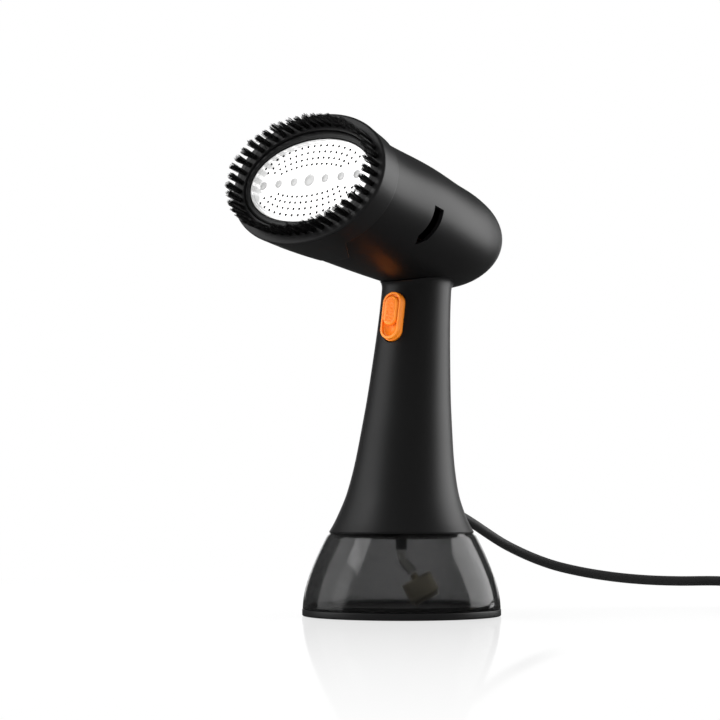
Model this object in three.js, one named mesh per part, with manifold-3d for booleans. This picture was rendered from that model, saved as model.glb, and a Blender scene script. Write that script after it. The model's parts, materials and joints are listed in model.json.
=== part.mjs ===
// Hand-held garment steamer, standing on its water tank. Millimetres, +Z up.
// Origin: centre of the tank's underside, on the surface that it stands on.
// The steam face looks along -Y and a little up; the mains cord leaves at the back, +Y.
import * as THREE from 'three';
import { mergeVertices } from 'three/addons/utils/BufferGeometryUtils.js';
import Module from 'manifold-3d';

const wasm = await Module();
wasm.setup();

// ---------------------------------------------------------------- driving dimensions
const fit = 0.3;                  // gap between two pieces that seat on each other
const slideFit = 0.4;             // gap round a piece that slides
const round = 32;                 // sides of the large round shells
const innerRound = 20;            // sides of the large pieces inside
const smallRound = 12;            // sides of small turned pieces

// Steam face: the plane of the brush ring's rim, which leans back at its top.
const faceCentre = new THREE.Vector3(0, -86.6, 236.9);
const faceLean = THREE.MathUtils.degToRad(13.5);
const faceHalfWidth = 51.7;
const faceHalfHeight = 35.6;

// Barrel of the head: an oval loft that bends level towards a domed back.
const barrelBend = 38;            // length over which it follows the face's own axis
const barrelEnd = new THREE.Vector3(0, 21.5, 217.8);
const barrelSwell = 2.9;          // how much its top and flanks swell between the two
const swellStart = 20;            // along the barrel, from the face
const swellEnd = 145;
const barrelEndHalfWidth = 39.5;
const barrelEndHalfHeight = 31.6;
const barrelDome = 59;
const headWall = 2.6;

// Side slot, one on each flank: a band cut through the wall, pointed at its foot.
const slotWidth = 9;
const slotY = -27.9;              // middle of its top end
const slotTop = 224;
const slotBottom = 203.8;
const slotLean = 4.6;             // its foot lies this far forward
const slotInner = 26;             // the cut starts this far from the middle plane
const slotReach = 30;

// Brush ring that clips over the nose with two tapering tabs.
const ringDepth = 16;
const ringRimDepth = 6;           // solid front part that holds the tufts
const ringProud = 1.8;            // the ring stands proud of the barrel at top and bottom
const pullLean = THREE.MathUtils.degToRad(12.5);   // the way the ring comes off
const ringFlush = 0.2;            // and nearly flush at its two ends
const ringMouthHalfWidth = 44.2;
const ringMouthHalfHeight = 27.9;
const ringSkirt = 2.6;            // wall of the skirt behind the rim
const rimChamfer = 1.3;
const tabReach = 34;              // from the rim to the tab's end
const tabClear = 0.7;             // under the tabs, where the barrel begins to swell
const tabRootHalfWidth = 21.5;
const tabEndHalfWidth = 10.5;

// Bristles: tufts in one row round the rim.
const tuftCount = 46;
const tuftLength = 11.6;
const tuftLean = 4;               // degrees outwards
const strandsPerTuft = 7;
const strandRadius = 0.36;
const strandSides = 3;
const innerStrands = 2;
const tuftRootRadius = 1.05;
const tuftTipRadius = 1.75;
const backingWidth = 3.4;
const backingThickness = 1.2;

// Nose, steam plate and boiler, stacked behind the face.
const plateRecess = 4.2;
const plateThickness = 2;
const plateHalfWidth = 41.4;
const plateHalfHeight = 23.8;
const plateHoles = [-32.1, -21.4, -10.7, 0, 10.7, 21.4, 32.1];
const plateHoleRadius = 2.1;
const plateCentreHoleRadius = 3;
const noseLip = 1.9;
const noseDepth = 20;
const boilerHalfWidth = 40;
const boilerHalfHeight = 22.4;
const boilerDepth = 17;
const chamberHalfWidth = 33;
const chamberHalfHeight = 15.4;
const chamberDepth = 9;
const gasketThickness = 1.5;
const coverThickness = 3.6;
const coverNippleX = -27;
const coverNippleLength = 8;
const coverScrewX = 27;
const coverScrewY = 12.5;
const screwRadius = 1.5;
const screwHeadRadius = 2.9;
const screwHeadHeight = 2.2;
const screwLength = 9;
const elementRadius = 3.2;
const elementHalfWidth = 9.5;
const elementLength = 42;
const thermostatX = 8;
const thermostatRadius = 6;
const thermostatHeight = 5.5;
const fuseRadius = 1.9;
const fuseLength = 12;

// Handle: a round column that leans back and flares out into the foot.
const seamHeight = 46.5;          // parting line between tank and handle
const seamGap = 0.4;
const seamRadius = 41.2;
const handleWall = 2.5;
const columnTop = barrelEnd.z - 20.8; // inside the head, where the barrel cuts the column off
const handleStations = [          // height above the seam, outer radius
  [0, seamRadius], [5, 38.3], [11.5, 35.4], [20, 32.3], [29.5, 30], [42, 27.85], [58, 25.9],
  [76, 23.95], [95, 22.4], [114, 21.05], [130, 20.25], [150, 19.85],
];
const leanStart = seamHeight + 3.5;
const leanSlope = 0.125;
const leanEase = 15;
const chassisThickness = 2.4;
const chassisWidth = 23;
const chassisOffset = 8;          // behind the column's own axis
const gripBase = seamHeight + 23.5;   // height of the grip pieces' own origin
const chassisTop = columnTop - 21;
const neckRadius = 14.6;
const neckWall = 2;
const neckTop = columnTop - 1;
const neckBottom = neckTop - 12.4;
const neckFlange = 3.2;
const neckFlangeHeight = 2;

// Trigger and its lock pad, on the front of the handle.
const triggerHeight = columnTop - 28.4;
const triggerWidth = 12.6;
const triggerLength = 27.4;
const triggerCorner = 6.1;
const triggerProud = 4.2;
const triggerInside = 4.2;
const triggerTravel = 3;
const padWidth = 9.2;
const padLength = 15.6;
const padThickness = 2;
const padTravel = 5.4;
const padTop = 3.0;               // from the trigger's top end down to the pad
const pocketDepth = 1.5;
const stemWidth = 1.6;            // stem of the pad, through a slot in the trigger
const stemLength = 2.2;
const hookWidth = 4.2;            // cross bar that keeps the pad in
const hookHeight = 0.8;
const plungerRadius = 1.6;
const plungerReach = 2.6;
const plungerPlace = -9.4;        // from the trigger's middle, towards its lower end
const switchGap = 0.4;
const springRadius = 3.3;
const springWire = 0.45;
const springTurns = 4;
const springLength = 5.2;
const switchSize = [6.4, 9.6, 20];

// Pump in the handle.
const pumpRadius = 10.6;
const pumpLength = 40;
const pumpBase = gripBase + 12;
const pumpNippleRadius = 2.6;
const pumpNippleLength = 7;
const clampWall = 2;
const clampHeight = 7;
const boardSize = [19, 1.6, 34];
const boardCentre = 34;           // above the chassis' own origin
const tubeRadius = 2.7;
const tubeSide = 8.6;             // the outlet tube runs up the left of the neck
const leadRadius = 1.6;
const leadSide = 6.5;             // the heater's lead runs up its right
const cordClampSize = [15, 7, 14.6];
const cordClampY = 18.6;

// Foot of the handle, which plugs into the tank's mouth.
const footDeck = 3.2;             // thickness of the deck
const footDeckTop = seamHeight + 5.1;
const spigotClearance = 0.7;
const spigotWall = 2;
const spigotReach = 8.5;          // below the seam
const sealSection = 0.75;         // radius of the seal's own section
const sealSides = 4;
const footNippleRadius = 3.2;
const footNippleBore = 1.6;       // radius
const footNippleTop = seamHeight + 13.5;
const footNippleBottom = seamHeight - 10;

// Tank: a clear bell with a dark base.
const tankRadius = 55.7;
const tankShoulderHeight = 19.5;  // where the wall's two tangents meet
const tankWall = 2.3;
const mouthHeight = 3.6;
const baseRadius = tankRadius + 0.3;
const baseHeight = 3.9;
const baseEdge = 0.8;             // chamfer of the base's lower edge
const baseTopEdge = 0.5;
const baseUpstand = 2.6;
const baseUpstandWall = 1.8;

// Suction hose and sinker.
const sinkerCentre = new THREE.Vector3(8.6, 6.2, 15.6);
const sinkerRadius = 8.9;
const sinkerLength = 11;
const sinkerLean = 62;            // degrees of the sinker's axis from level
const hoseRadius = 2.7;
const hoseGap = 0.5;              // lets the hose swing under its nipple
const hoseBow = [                 // out from the tank's middle line, height
  [0.7, 30.9], [2.3, 28.6], [4.2, 26.6],
];
const filterThickness = 2;

// Mains lead: strain relief, free stretch, coil and plug.
const cordRadius = 2.9;
const reliefRoot = new THREE.Vector3(0, 27.6, seamHeight + 24.5);
const reliefDrop = 26;            // degrees below level
const reliefLength = 27;
const reliefRadius = 4.7;
const reliefTipRadius = 3.5;
const reliefFlange = 6;
const coilCentre = new THREE.Vector3(175.5, 173, 0);
const coilTurns = 6.17;
const coilStartAngle = 60;        // degrees, where the lead runs in
const coilMeanRadius = 40;
const coilPitch = 2 * cordRadius + 0.75;
const plugStretch = 12;           // holds the plug clear of the coil
const plugBody = [25, 34, 18];
const bladeSize = [1.5, 16.5, 6.4];
const bladeSpacing = 12.7;

// ---------------------------------------------------------------- materials
function finish(colour, roughness, metalness = 0, extra = {}) {
  return new THREE.MeshStandardMaterial({ color: colour, roughness, metalness, ...extra });
}
const satinBlack = finish(0x1d1d1f, 0.42);
const glossBlack = finish(0x121213, 0.2);
const innerBlack = finish(0x18181a, 0.6);
const orange = finish(0xf58a2c, 0.4);
const plateWhite = finish(0xf2f2f0, 0.35);
const bristleBlack = finish(0x0c0c0c, 0.7);
const smoked = finish(0x2a2a2c, 0.12, 0, { transparent: true, opacity: 0.6 });
const clearSilicone = finish(0x8f8b80, 0.3, 0, { transparent: true, opacity: 0.7 });
const whiteSilicone = finish(0xdcdad2, 0.5);
const aluminium = finish(0xa9aaac, 0.4, 1);
const steel = finish(0xb9bbbd, 0.3, 1);
const brass = finish(0x8d7c55, 0.45, 1);
const rubber = finish(0x1a1a1a, 0.75);
const boardGreen = finish(0x1f5a36, 0.5);
const beige = finish(0xd8cdb4, 0.6);
const copper = finish(0x9a5b33, 0.35, 1);

// ---------------------------------------------------------------- helpers
const model = new THREE.Group();
const frontGroup = new THREE.Group();   // local +Z looks out of the steam face, +Y up it
frontGroup.position.copy(faceCentre);
frontGroup.rotation.x = Math.PI / 2 - faceLean;
model.add(frontGroup);

// Merge the corners, drop empty triangles and turn the faces outwards.
function closed(geometry) {
  const bare = geometry.index ? geometry.clone() : geometry;
  for (const name of Object.keys(bare.attributes)) {
    if (name !== 'position') bare.deleteAttribute(name);
  }
  const merged = mergeVertices(bare, 1e-4);
  const corner = merged.index.array;
  const at = merged.attributes.position;
  const kept = [];
  const a = new THREE.Vector3();
  const b = new THREE.Vector3();
  const c = new THREE.Vector3();
  let volume = 0;
  for (let i = 0; i < corner.length; i += 3) {
    const [i0, i1, i2] = [corner[i], corner[i + 1], corner[i + 2]];
    if (i0 === i1 || i1 === i2 || i2 === i0) continue;
    kept.push(i0, i1, i2);
    a.fromBufferAttribute(at, i0);
    b.fromBufferAttribute(at, i1);
    c.fromBufferAttribute(at, i2);
    volume += a.dot(b.cross(c));
  }
  if (volume < 0) kept.reverse();
  merged.setIndex(kept);
  return merged;
}

function solid(geometry) {
  const g = closed(geometry);
  return new wasm.Manifold(new wasm.Mesh({
    numProp: 3,
    vertProperties: new Float32Array(g.attributes.position.array),
    triVerts: new Uint32Array(g.index.array),
  }));
}

function geometryOf(manifold) {
  const { vertProperties, triVerts } = manifold.getMesh();
  const g = new THREE.BufferGeometry();
  g.setAttribute('position', new THREE.BufferAttribute(new Float32Array(vertProperties), 3));
  g.setIndex(new THREE.BufferAttribute(new Uint32Array(triVerts), 1));
  return g;
}

function piece(name, shape, material, parent = model) {
  const geometry = shape.getMesh ? geometryOf(shape) : closed(shape);
  geometry.computeVertexNormals();
  const mesh = new THREE.Mesh(geometry, material);
  mesh.name = name;
  parent.add(mesh);
  return mesh;
}

// A solid turned round +Z from [radius, height] points; the outline closes by itself.
function turned(points, sides = smallRound) {
  const outline = points.map(([r, z]) => new THREE.Vector2(r, z));
  if (points[0][0] > 0) outline.push(outline[0].clone());
  return new THREE.LatheGeometry(outline, sides).rotateX(Math.PI / 2);
}

function rod(radius, z0, z1, sides = smallRound) {
  return turned([[0, z0], [radius, z0], [radius, z1], [0, z1]], sides);
}

// Skin a row of equal rings of points and cap both ends.
function skinned(rings) {
  const count = rings[0].length;
  const at = [];
  const face = [];
  for (const ring of rings) for (const p of ring) at.push(p.x, p.y, p.z);
  for (let r = 0; r + 1 < rings.length; r++) {
    for (let i = 0; i < count; i++) {
      const j = (i + 1) % count;
      const [p, q] = [r * count + i, r * count + j];
      face.push(p, q, q + count, p, q + count, p + count);
    }
  }
  for (const [r, flip] of [[0, true], [rings.length - 1, false]]) {
    const middle = new THREE.Vector3();
    for (const p of rings[r]) middle.addScaledVector(p, 1 / count);
    at.push(middle.x, middle.y, middle.z);
    const hub = at.length / 3 - 1;
    for (let i = 0; i < count; i++) {
      const [p, q] = [r * count + i, r * count + (i + 1) % count];
      if (flip) face.push(q, p, hub);
      else face.push(p, q, hub);
    }
  }
  const g = new THREE.BufferGeometry();
  g.setAttribute('position', new THREE.Float32BufferAttribute(at, 3));
  g.setIndex(face);
  return g;
}

function oval(halfWidth, halfHeight, z0, z1, sides = round) {
  const shape = new THREE.Shape();
  for (let i = 0; i < sides; i++) {
    const turn = (i / sides) * 2 * Math.PI;
    const [x, y] = [halfWidth * Math.cos(turn), halfHeight * Math.sin(turn)];
    if (i === 0) shape.moveTo(x, y);
    else shape.lineTo(x, y);
  }
  return new THREE.ExtrudeGeometry(shape, { depth: z1 - z0, bevelEnabled: false })
    .translate(0, 0, z0);
}

// Rectangle with round corners in X-Y, extruded from z0 to z1.
function roundedBlock(width, length, corner, z0, z1, cornerSteps = 3) {
  const shape = new THREE.Shape();
  const [w, l] = [width / 2 - corner, length / 2 - corner];
  shape.absarc(w, l, corner, 0, Math.PI / 2);
  shape.absarc(-w, l, corner, Math.PI / 2, Math.PI);
  shape.absarc(-w, -l, corner, Math.PI, 1.5 * Math.PI);
  shape.absarc(w, -l, corner, 1.5 * Math.PI, 2 * Math.PI);
  const depth = z1 - z0;
  return new THREE.ExtrudeGeometry(shape, { depth, bevelEnabled: false, curveSegments: cornerSteps })
    .translate(0, 0, z0);
}

function block(width, depth, height, x = 0, y = 0, z = 0) {
  return new THREE.BoxGeometry(width, depth, height).translate(x, y, z);
}

function disc(radius, sides) {
  const shape = new THREE.Shape();
  for (let i = 0; i < sides; i++) {
    const turn = (i / sides) * 2 * Math.PI;
    const [x, y] = [radius * Math.cos(turn), radius * Math.sin(turn)];
    if (i === 0) shape.moveTo(x, y);
    else shape.lineTo(x, y);
  }
  return shape;
}

// A round tube or wire along a curve.
function along(curve, radius, steps, sides) {
  return new THREE.ExtrudeGeometry(disc(radius, sides), { extrudePath: curve, steps });
}

function hose(points, radius, steps, sides = 8) {
  const curve = new THREE.CatmullRomCurve3(points.map((p) => new THREE.Vector3(...p)));
  return along(curve, radius, steps, sides);
}

// Smooth value between [place, value] stations.
function between(stations, place) {
  const last = stations.length - 1;
  let i = 0;
  while (i < last - 1 && place > stations[i + 1][0]) i++;
  const slope = (k) => {
    const [lo, hi] = [stations[Math.max(k - 1, 0)], stations[Math.min(k + 1, last)]];
    return (hi[1] - lo[1]) / (hi[0] - lo[0]);
  };
  const [[x0, y0], [x1, y1]] = [stations[i], stations[i + 1]];
  const span = x1 - x0;
  const t = THREE.MathUtils.clamp((place - x0) / span, 0, 1);
  const [m0, m1] = [slope(i) * span, slope(i + 1) * span];
  const t2 = t * t;
  const t3 = t2 * t;
  return (2 * t3 - 3 * t2 + 1) * y0 + (t3 - 2 * t2 + t) * m0 + (3 * t2 - 2 * t3) * y1 + (t3 - t2) * m1;
}

// ---------------------------------------------------------------- barrel
const faceNormal = new THREE.Vector3(0, -Math.cos(faceLean), Math.sin(faceLean));
const barrelTurn = faceCentre.clone().addScaledVector(faceNormal, -barrelBend);
const barrelAxis = new THREE.QuadraticBezierCurve3(faceCentre, barrelTurn, barrelEnd);

// The top rises and the flanks widen by a soft hump, while the underside stays straight.
function swellAt(station) {
  const u = THREE.MathUtils.clamp((station - swellStart) / (swellEnd - swellStart), 0, 1);
  return barrelSwell * Math.pow(4 * u * (1 - u), 2);
}

// One oval section: share 0 is the steam face, 1 is where the dome begins.
function barrelSection(share, growWidth, growHeight) {
  const station = 2 * barrelBend * share + (barrelAxis.getLength() - 2 * barrelBend) * share * share;
  const swell = swellAt(station);
  const lean = faceLean * (1 - share);
  const up = new THREE.Vector3(0, Math.sin(lean), Math.cos(lean));
  const centre = barrelAxis.getPoint(Math.min(share, 1)).addScaledVector(up, swell / 2);
  const halfWidth = THREE.MathUtils.lerp(faceHalfWidth, barrelEndHalfWidth, share) + growWidth;
  const halfHeight = THREE.MathUtils.lerp(faceHalfHeight, barrelEndHalfHeight, share) + growHeight;
  return ring(centre, up, halfWidth + swell, halfHeight + swell / 2);
}

function ring(centre, up, halfWidth, halfHeight) {
  const points = [];
  for (let i = 0; i < round; i++) {
    const turn = (i / round) * 2 * Math.PI;
    const p = centre.clone().addScaledVector(up, halfHeight * Math.sin(turn));
    p.x += halfWidth * Math.cos(turn);
    points.push(p);
  }
  return points;
}

// The barrel's outer form, grown or shrunk evenly by `grow`.
function barrel(grow, steps, domeSteps) {
  const rings = [];
  for (let i = 0; i <= steps; i++) rings.push(barrelSection(i / steps, grow, grow));
  for (let i = 1; i <= domeSteps; i++) {
    const turn = (i / (domeSteps + 0.35)) * (Math.PI / 2);
    const centre = barrelEnd.clone();
    centre.y += (barrelDome + grow) * Math.sin(turn);
    const swell = swellAt(barrelAxis.getLength() + barrelDome * Math.sin(turn));
    centre.z += swell / 2;
    const up = new THREE.Vector3(0, 0, 1);
    const halfWidth = (barrelEndHalfWidth + grow) * Math.cos(turn) + swell;
    rings.push(ring(centre, up, halfWidth, (barrelEndHalfHeight + grow) * Math.cos(turn) + swell / 2));
  }
  const shape = skinned(rings);
  // the last cap's middle sits on the dome itself
  const at = shape.attributes.position;
  at.setY(at.count - 1, barrelEnd.y + barrelDome + grow);
  return solid(shape);
}

// A slab behind the steam face, between two depths from the rim.
function faceSlab(front, back) {
  const size = 4 * faceHalfWidth;
  return placed(solid(block(size, size, back - front, 0, 0, -(front + back) / 2)), frontGroup);
}

function placed(manifold, group) {
  group.updateMatrixWorld(true);
  return manifold.transform(group.matrixWorld.elements);
}

// ---------------------------------------------------------------- column of the handle
function leanAt(height) {
  const over = Math.max(height - leanStart, 0);
  return (leanSlope * over * over) / (over + leanEase);
}

function column(wall, bottom, top, steps) {
  const rings = [];
  for (let i = 0; i <= steps; i++) {
    const height = bottom + (top - bottom) * Math.pow(i / steps, 1.35);
    const radius = between(handleStations, height - seamHeight) - wall;
    const centre = new THREE.Vector3(0, leanAt(height), height);
    rings.push(ring(centre, new THREE.Vector3(0, 1, 0), radius, radius));
  }
  return solid(skinned(rings));
}

const barrelOuter = barrel(0, 7, 4);
const barrelInner = barrel(-headWall, 4, 3);
const barrelClear = barrel(fit, 7, 4);

// ---------------------------------------------------------------- head
function buildHead() {
  const handleBottom = seamHeight + seamGap / 2;
  const shellFront = ringDepth + slideFit;
  const neckY = leanAt(neckTop);
  const neckBore = rod(neckRadius + fit, neckBottom - 1, neckTop + neckFlange, innerRound);
  const neckHole = solid(neckBore.translate(0, neckY, 0));
  let shell = barrelOuter.subtract(barrelInner).subtract(neckHole);
  shell = shell.subtract(faceSlab(-30, shellFront));
  for (const side of [-1, 1]) shell = shell.subtract(sideSlot(side));
  piece('head_shell', shell, satinBlack);

  const neckOutline = [
    [neckRadius - neckWall, neckBottom], [neckRadius, neckBottom], [neckRadius, neckTop - neckFlangeHeight],
    [neckRadius + neckFlange, neckTop - neckFlangeHeight], [neckRadius + neckFlange, neckTop],
    [neckRadius - neckWall, neckTop],
  ];
  piece('neck_sleeve', turned(neckOutline, innerRound).translate(0, neckY, 0), innerBlack);

  const outer = column(0, handleBottom, columnTop, 10);
  const inner = column(handleWall, handleBottom - 1, columnTop + 1, 4);
  let handle = outer.subtract(inner).subtract(barrelClear);
  handle = handle.subtract(triggerWindow()).subtract(reliefHole());
  piece('handle_shell', handle, satinBlack);
}

// A band through one flank that follows the barrel's sections.
function sideSlot(side) {
  const half = slotWidth / 2;
  const height = slotTop - slotBottom;
  const shape = new THREE.Shape();
  shape.moveTo(-half, height + 0.8);
  shape.quadraticCurveTo(-half - 0.4, height / 2, -half - slotLean, height * 0.22);
  shape.lineTo(-slotLean - 1.4, 0);
  shape.lineTo(half - slotLean, height * 0.16);
  shape.quadraticCurveTo(half - 0.4, height / 2, half, height - 0.8);
  const cut = new THREE.ExtrudeGeometry(shape, { depth: slotReach, bevelEnabled: false, curveSegments: 4 });
  cut.rotateX(Math.PI / 2).rotateZ(Math.PI / 2).translate(slotInner, slotY, slotBottom);
  if (side < 0) cut.scale(-1, 1, 1);
  return solid(cut);
}

// ---------------------------------------------------------------- nose, plate and boiler
function buildNose() {
  const lipWidth = ringMouthHalfWidth - slideFit;
  const lipHeight = ringMouthHalfHeight - slideFit;
  const bodyWidth = faceHalfWidth - ringSkirt - slideFit - 0.9;
  const bodyHeight = faceHalfHeight - ringSkirt - slideFit - 0.4;
  const bodyFront = ringRimDepth + slideFit;
  const seatWidth = plateHalfWidth + fit;
  const seatHeight = plateHalfHeight + fit;
  let nose = solid(oval(bodyWidth, bodyHeight, -noseDepth, -bodyFront));
  nose = nose.add(solid(oval(lipWidth, lipHeight, -noseDepth, -(plateRecess - noseLip))));
  nose = nose.subtract(solid(oval(seatWidth, seatHeight, -noseDepth - 1, 0)));
  // behind the ring it keeps inside the barrel's wall
  const insideBarrel = placed(barrelInner, inverseOf(frontGroup));
  const room = insideBarrel.add(solid(oval(bodyWidth, bodyHeight, -ringDepth, 0)));
  piece('nose_frame', nose.intersect(room), glossBlack, frontGroup);

  const plateBack = plateRecess + plateThickness;
  let plate = solid(oval(plateHalfWidth, plateHalfHeight, -plateBack, -plateRecess));
  for (const x of plateHoles) {
    const radius = x === 0 ? plateCentreHoleRadius : plateHoleRadius;
    plate = plate.subtract(solid(rod(radius, -plateBack - 1, 1, 10).translate(x, 0, 0)));
  }
  piece('steam_plate', plate, plateWhite, frontGroup);
  return buildBoiler(plateBack + fit);
}

// Block, gasket and cover in one stack behind the plate, with four screws through all three.
function buildBoiler(blockFront) {
  const blockBack = blockFront + boilerDepth;
  const gasketBack = blockBack + fit + gasketThickness;
  const coverBack = gasketBack + fit + coverThickness;
  const chamberFront = chamberDepth - blockBack;
  const chamber = oval(chamberHalfWidth, chamberHalfHeight, -blockBack - 1, chamberFront, innerRound);
  const blank = oval(boilerHalfWidth, boilerHalfHeight, -blockBack, -blockFront, innerRound);
  let boiler = solid(blank).subtract(solid(chamber));
  const [gasketWidth, gasketHeight] = [boilerHalfWidth - 1, boilerHalfHeight - 1];
  const gasketBlank = oval(gasketWidth, gasketHeight, -gasketBack, -blockBack - fit, innerRound);
  const gasketHole = oval(chamberHalfWidth + 0.5, chamberHalfHeight + 0.5, -gasketBack - 1, 0, innerRound);
  let gasket = solid(gasketBlank).subtract(solid(gasketHole));
  let cover = solid(oval(boilerHalfWidth, boilerHalfHeight, -coverBack, -gasketBack - fit, innerRound));
  const nipple = rod(pumpNippleRadius, -coverBack - coverNippleLength, -coverBack + 1, 10);
  cover = cover.add(solid(nipple.translate(coverNippleX, 0, 0)));
  const headBottom = -coverBack - fit;
  const headTop = headBottom - screwHeadHeight;
  const screwEnd = headBottom + screwLength;
  for (const [index, [sx, sy]] of [[1, 1], [-1, 1], [-1, -1], [1, -1]].entries()) {
    const [x, y] = [sx * coverScrewX, sy * coverScrewY];
    const hole = solid(rod(screwRadius + fit, -coverBack - 1, screwEnd + 3 * fit, 6).translate(x, y, 0));
    boiler = boiler.subtract(hole);
    gasket = gasket.subtract(hole);
    cover = cover.subtract(hole);
    const screw = turned([
      [0, headTop], [screwHeadRadius, headTop], [screwHeadRadius, headBottom], [screwRadius, headBottom],
      [screwRadius, screwEnd], [0, screwEnd],
    ], 6);
    piece(`cover_screw_${index + 1}`, screw.translate(x, y, 0), steel, frontGroup);
  }
  piece('boiler_block', boiler, aluminium, frontGroup);
  piece('boiler_gasket', gasket, whiteSilicone, frontGroup);
  piece('boiler_cover', cover, aluminium, frontGroup);
  buildElement(coverBack);
  return coverBack;
}

// U-shaped heating element on the cover, with its two ends towards +X, and the two cut-outs.
function buildElement(coverBack) {
  const backing = -coverBack - fit;
  const left = elementHalfWidth - elementLength / 2;
  const right = elementLength / 2 + 2;
  const [bottom, top] = [-elementHalfWidth, elementHalfWidth];
  const corners = [
    [right, bottom], [thermostatX, bottom], [left + 4, bottom], [left - 3, bottom / 1.5], [left - 6.5, 0],
    [left - 3, top / 1.5], [left + 4, top], [thermostatX, top], [right, top],
  ];
  const route = corners.map(([x, y]) => [x, y, backing - elementRadius]);
  piece('heating_element', hose(route, elementRadius, 16), steel, frontGroup);
  const thermostat = rod(thermostatRadius, backing - thermostatHeight, backing);
  piece('thermostat', thermostat.translate(thermostatX, 0, 0), beige, frontGroup);
  const fuse = rod(fuseRadius, -fuseLength / 2, fuseLength / 2, 8).rotateY(Math.PI / 2);
  fuse.translate(0, elementHalfWidth + elementRadius + fuseRadius + 0.5, backing - fuseRadius);
  piece('thermal_fuse', fuse, beige, frontGroup);
}

function inverseOf(group) {
  group.updateMatrixWorld(true);
  return { updateMatrixWorld() {}, matrixWorld: group.matrixWorld.clone().invert() };
}

// ---------------------------------------------------------------- brush ring and bristles
function ringOuter(depth, steps) {
  const perShare = 1 / barrelAxis.getLength();
  const front = barrelSection(0, ringFlush - rimChamfer, ringProud - rimChamfer);
  const rings = [front];
  for (let i = 0; i <= steps; i++) {
    const behind = rimChamfer + ((depth - rimChamfer) * i) / steps;
    rings.push(barrelSection(behind * perShare, ringFlush, ringProud));
  }
  return solid(skinned(rings));
}

// An oval column that runs back from the end of the band, straight along the pull.
function pulledOval(growWidth, growHeight) {
  const pull = new THREE.Vector3(0, -Math.cos(pullLean), Math.sin(pullLean));
  const start = barrelSection(ringDepth / barrelAxis.getLength(), growWidth, growHeight);
  const moved = (distance) => start.map((p) => p.clone().addScaledVector(pull, distance));
  return solid(skinned([moved(1.5), moved(ringDepth - tabReach - 8)]));
}

function buildBrushRing() {
  const band = ringOuter(ringDepth + 6, 3).intersect(faceSlab(-5, ringDepth));
  const mouthOval = oval(ringMouthHalfWidth, ringMouthHalfHeight, -ringRimDepth - 1, 5);
  const mouth = placed(solid(mouthOval), frontGroup);
  const skirtX = faceHalfWidth + ringFlush - ringSkirt - 0.9;
  const skirtY = faceHalfHeight - ringSkirt;
  const bore = placed(solid(oval(skirtX, skirtY, -ringDepth - 1, -ringRimDepth)), frontGroup);
  const taper = new THREE.Shape();
  const root = ringDepth - 2;
  taper.moveTo(-tabRootHalfWidth, -root);
  taper.quadraticCurveTo(-tabRootHalfWidth + 2.5, -root - 5, -tabEndHalfWidth - 2.2, -tabReach + 4);
  taper.lineTo(-tabEndHalfWidth, -tabReach);
  taper.lineTo(tabEndHalfWidth, -tabReach);
  taper.lineTo(tabEndHalfWidth + 2.2, -tabReach + 4);
  taper.quadraticCurveTo(tabRootHalfWidth - 2.5, -root - 5, tabRootHalfWidth, -root);
  const cutter = { depth: 2 * faceHalfWidth, bevelEnabled: false, curveSegments: 4 };
  const tabPrism = new THREE.ExtrudeGeometry(taper, cutter);
  tabPrism.translate(0, 0, -faceHalfWidth).rotateX(-Math.PI / 2).rotateX(Math.PI);
  const outline = placed(solid(tabPrism), frontGroup);
  const tabs = pulledOval(ringFlush, ringProud).subtract(pulledOval(tabClear, tabClear)).intersect(outline);
  let body = band.subtract(bore).subtract(mouth).add(tabs);
  const groove = placed(tuftSeat(fit), frontGroup);
  body = body.subtract(groove);
  piece('brush_ring', body, glossBlack);
}

// Middle line of the tuft row on the rim.
const rowHalfWidth = (faceHalfWidth + ringFlush + ringMouthHalfWidth) / 2 - 0.4;
const rowHalfHeight = (faceHalfHeight + ringProud + ringMouthHalfHeight) / 2 - 0.4;

function tuftSeat(clear) {
  const half = backingWidth / 2 + clear;
  const floor = -backingThickness - clear;
  const outer = solid(oval(rowHalfWidth + half, rowHalfHeight + half, floor, 2));
  return outer.subtract(solid(oval(rowHalfWidth - half, rowHalfHeight - half, floor - 1, 3)));
}

// Equal steps along the oval row.
function rowPlaces() {
  const samples = 720;
  const length = [0];
  const spot = (k) => {
    const turn = (k / samples) * 2 * Math.PI;
    return new THREE.Vector2(rowHalfWidth * Math.cos(turn), rowHalfHeight * Math.sin(turn));
  };
  for (let k = 1; k <= samples; k++) length.push(length[k - 1] + spot(k).distanceTo(spot(k - 1)));
  const places = [];
  for (let tuft = 0; tuft < tuftCount; tuft++) {
    const wanted = ((tuft + 0.5) / tuftCount) * length[samples];
    const k = length.findIndex((l) => l >= wanted);
    places.push(((k - 0.5) / samples) * 2 * Math.PI);
  }
  return places;
}

function strand(foot, tip, radius, twist) {
  const rings = [];
  for (const [end, size] of [[foot, radius], [tip, radius * 0.75]]) {
    const points = [];
    for (let i = 0; i < strandSides; i++) {
      const turn = twist + (i / strandSides) * 2 * Math.PI;
      points.push(new THREE.Vector3(end.x + size * Math.cos(turn), end.y + size * Math.sin(turn), end.z));
    }
    rings.push(points);
  }
  const at = [];
  for (const ringOfPoints of rings) for (const p of ringOfPoints) at.push(p.x, p.y, p.z);
  const face = [0, 2, 1, 3, 4, 5];
  for (let i = 0; i < strandSides; i++) {
    const j = (i + 1) % strandSides;
    face.push(i, j, j + strandSides, i, j + strandSides, i + strandSides);
  }
  const g = new THREE.BufferGeometry();
  g.setAttribute('position', new THREE.Float32BufferAttribute(at, 3));
  g.setIndex(face);
  return solid(g);
}

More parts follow.
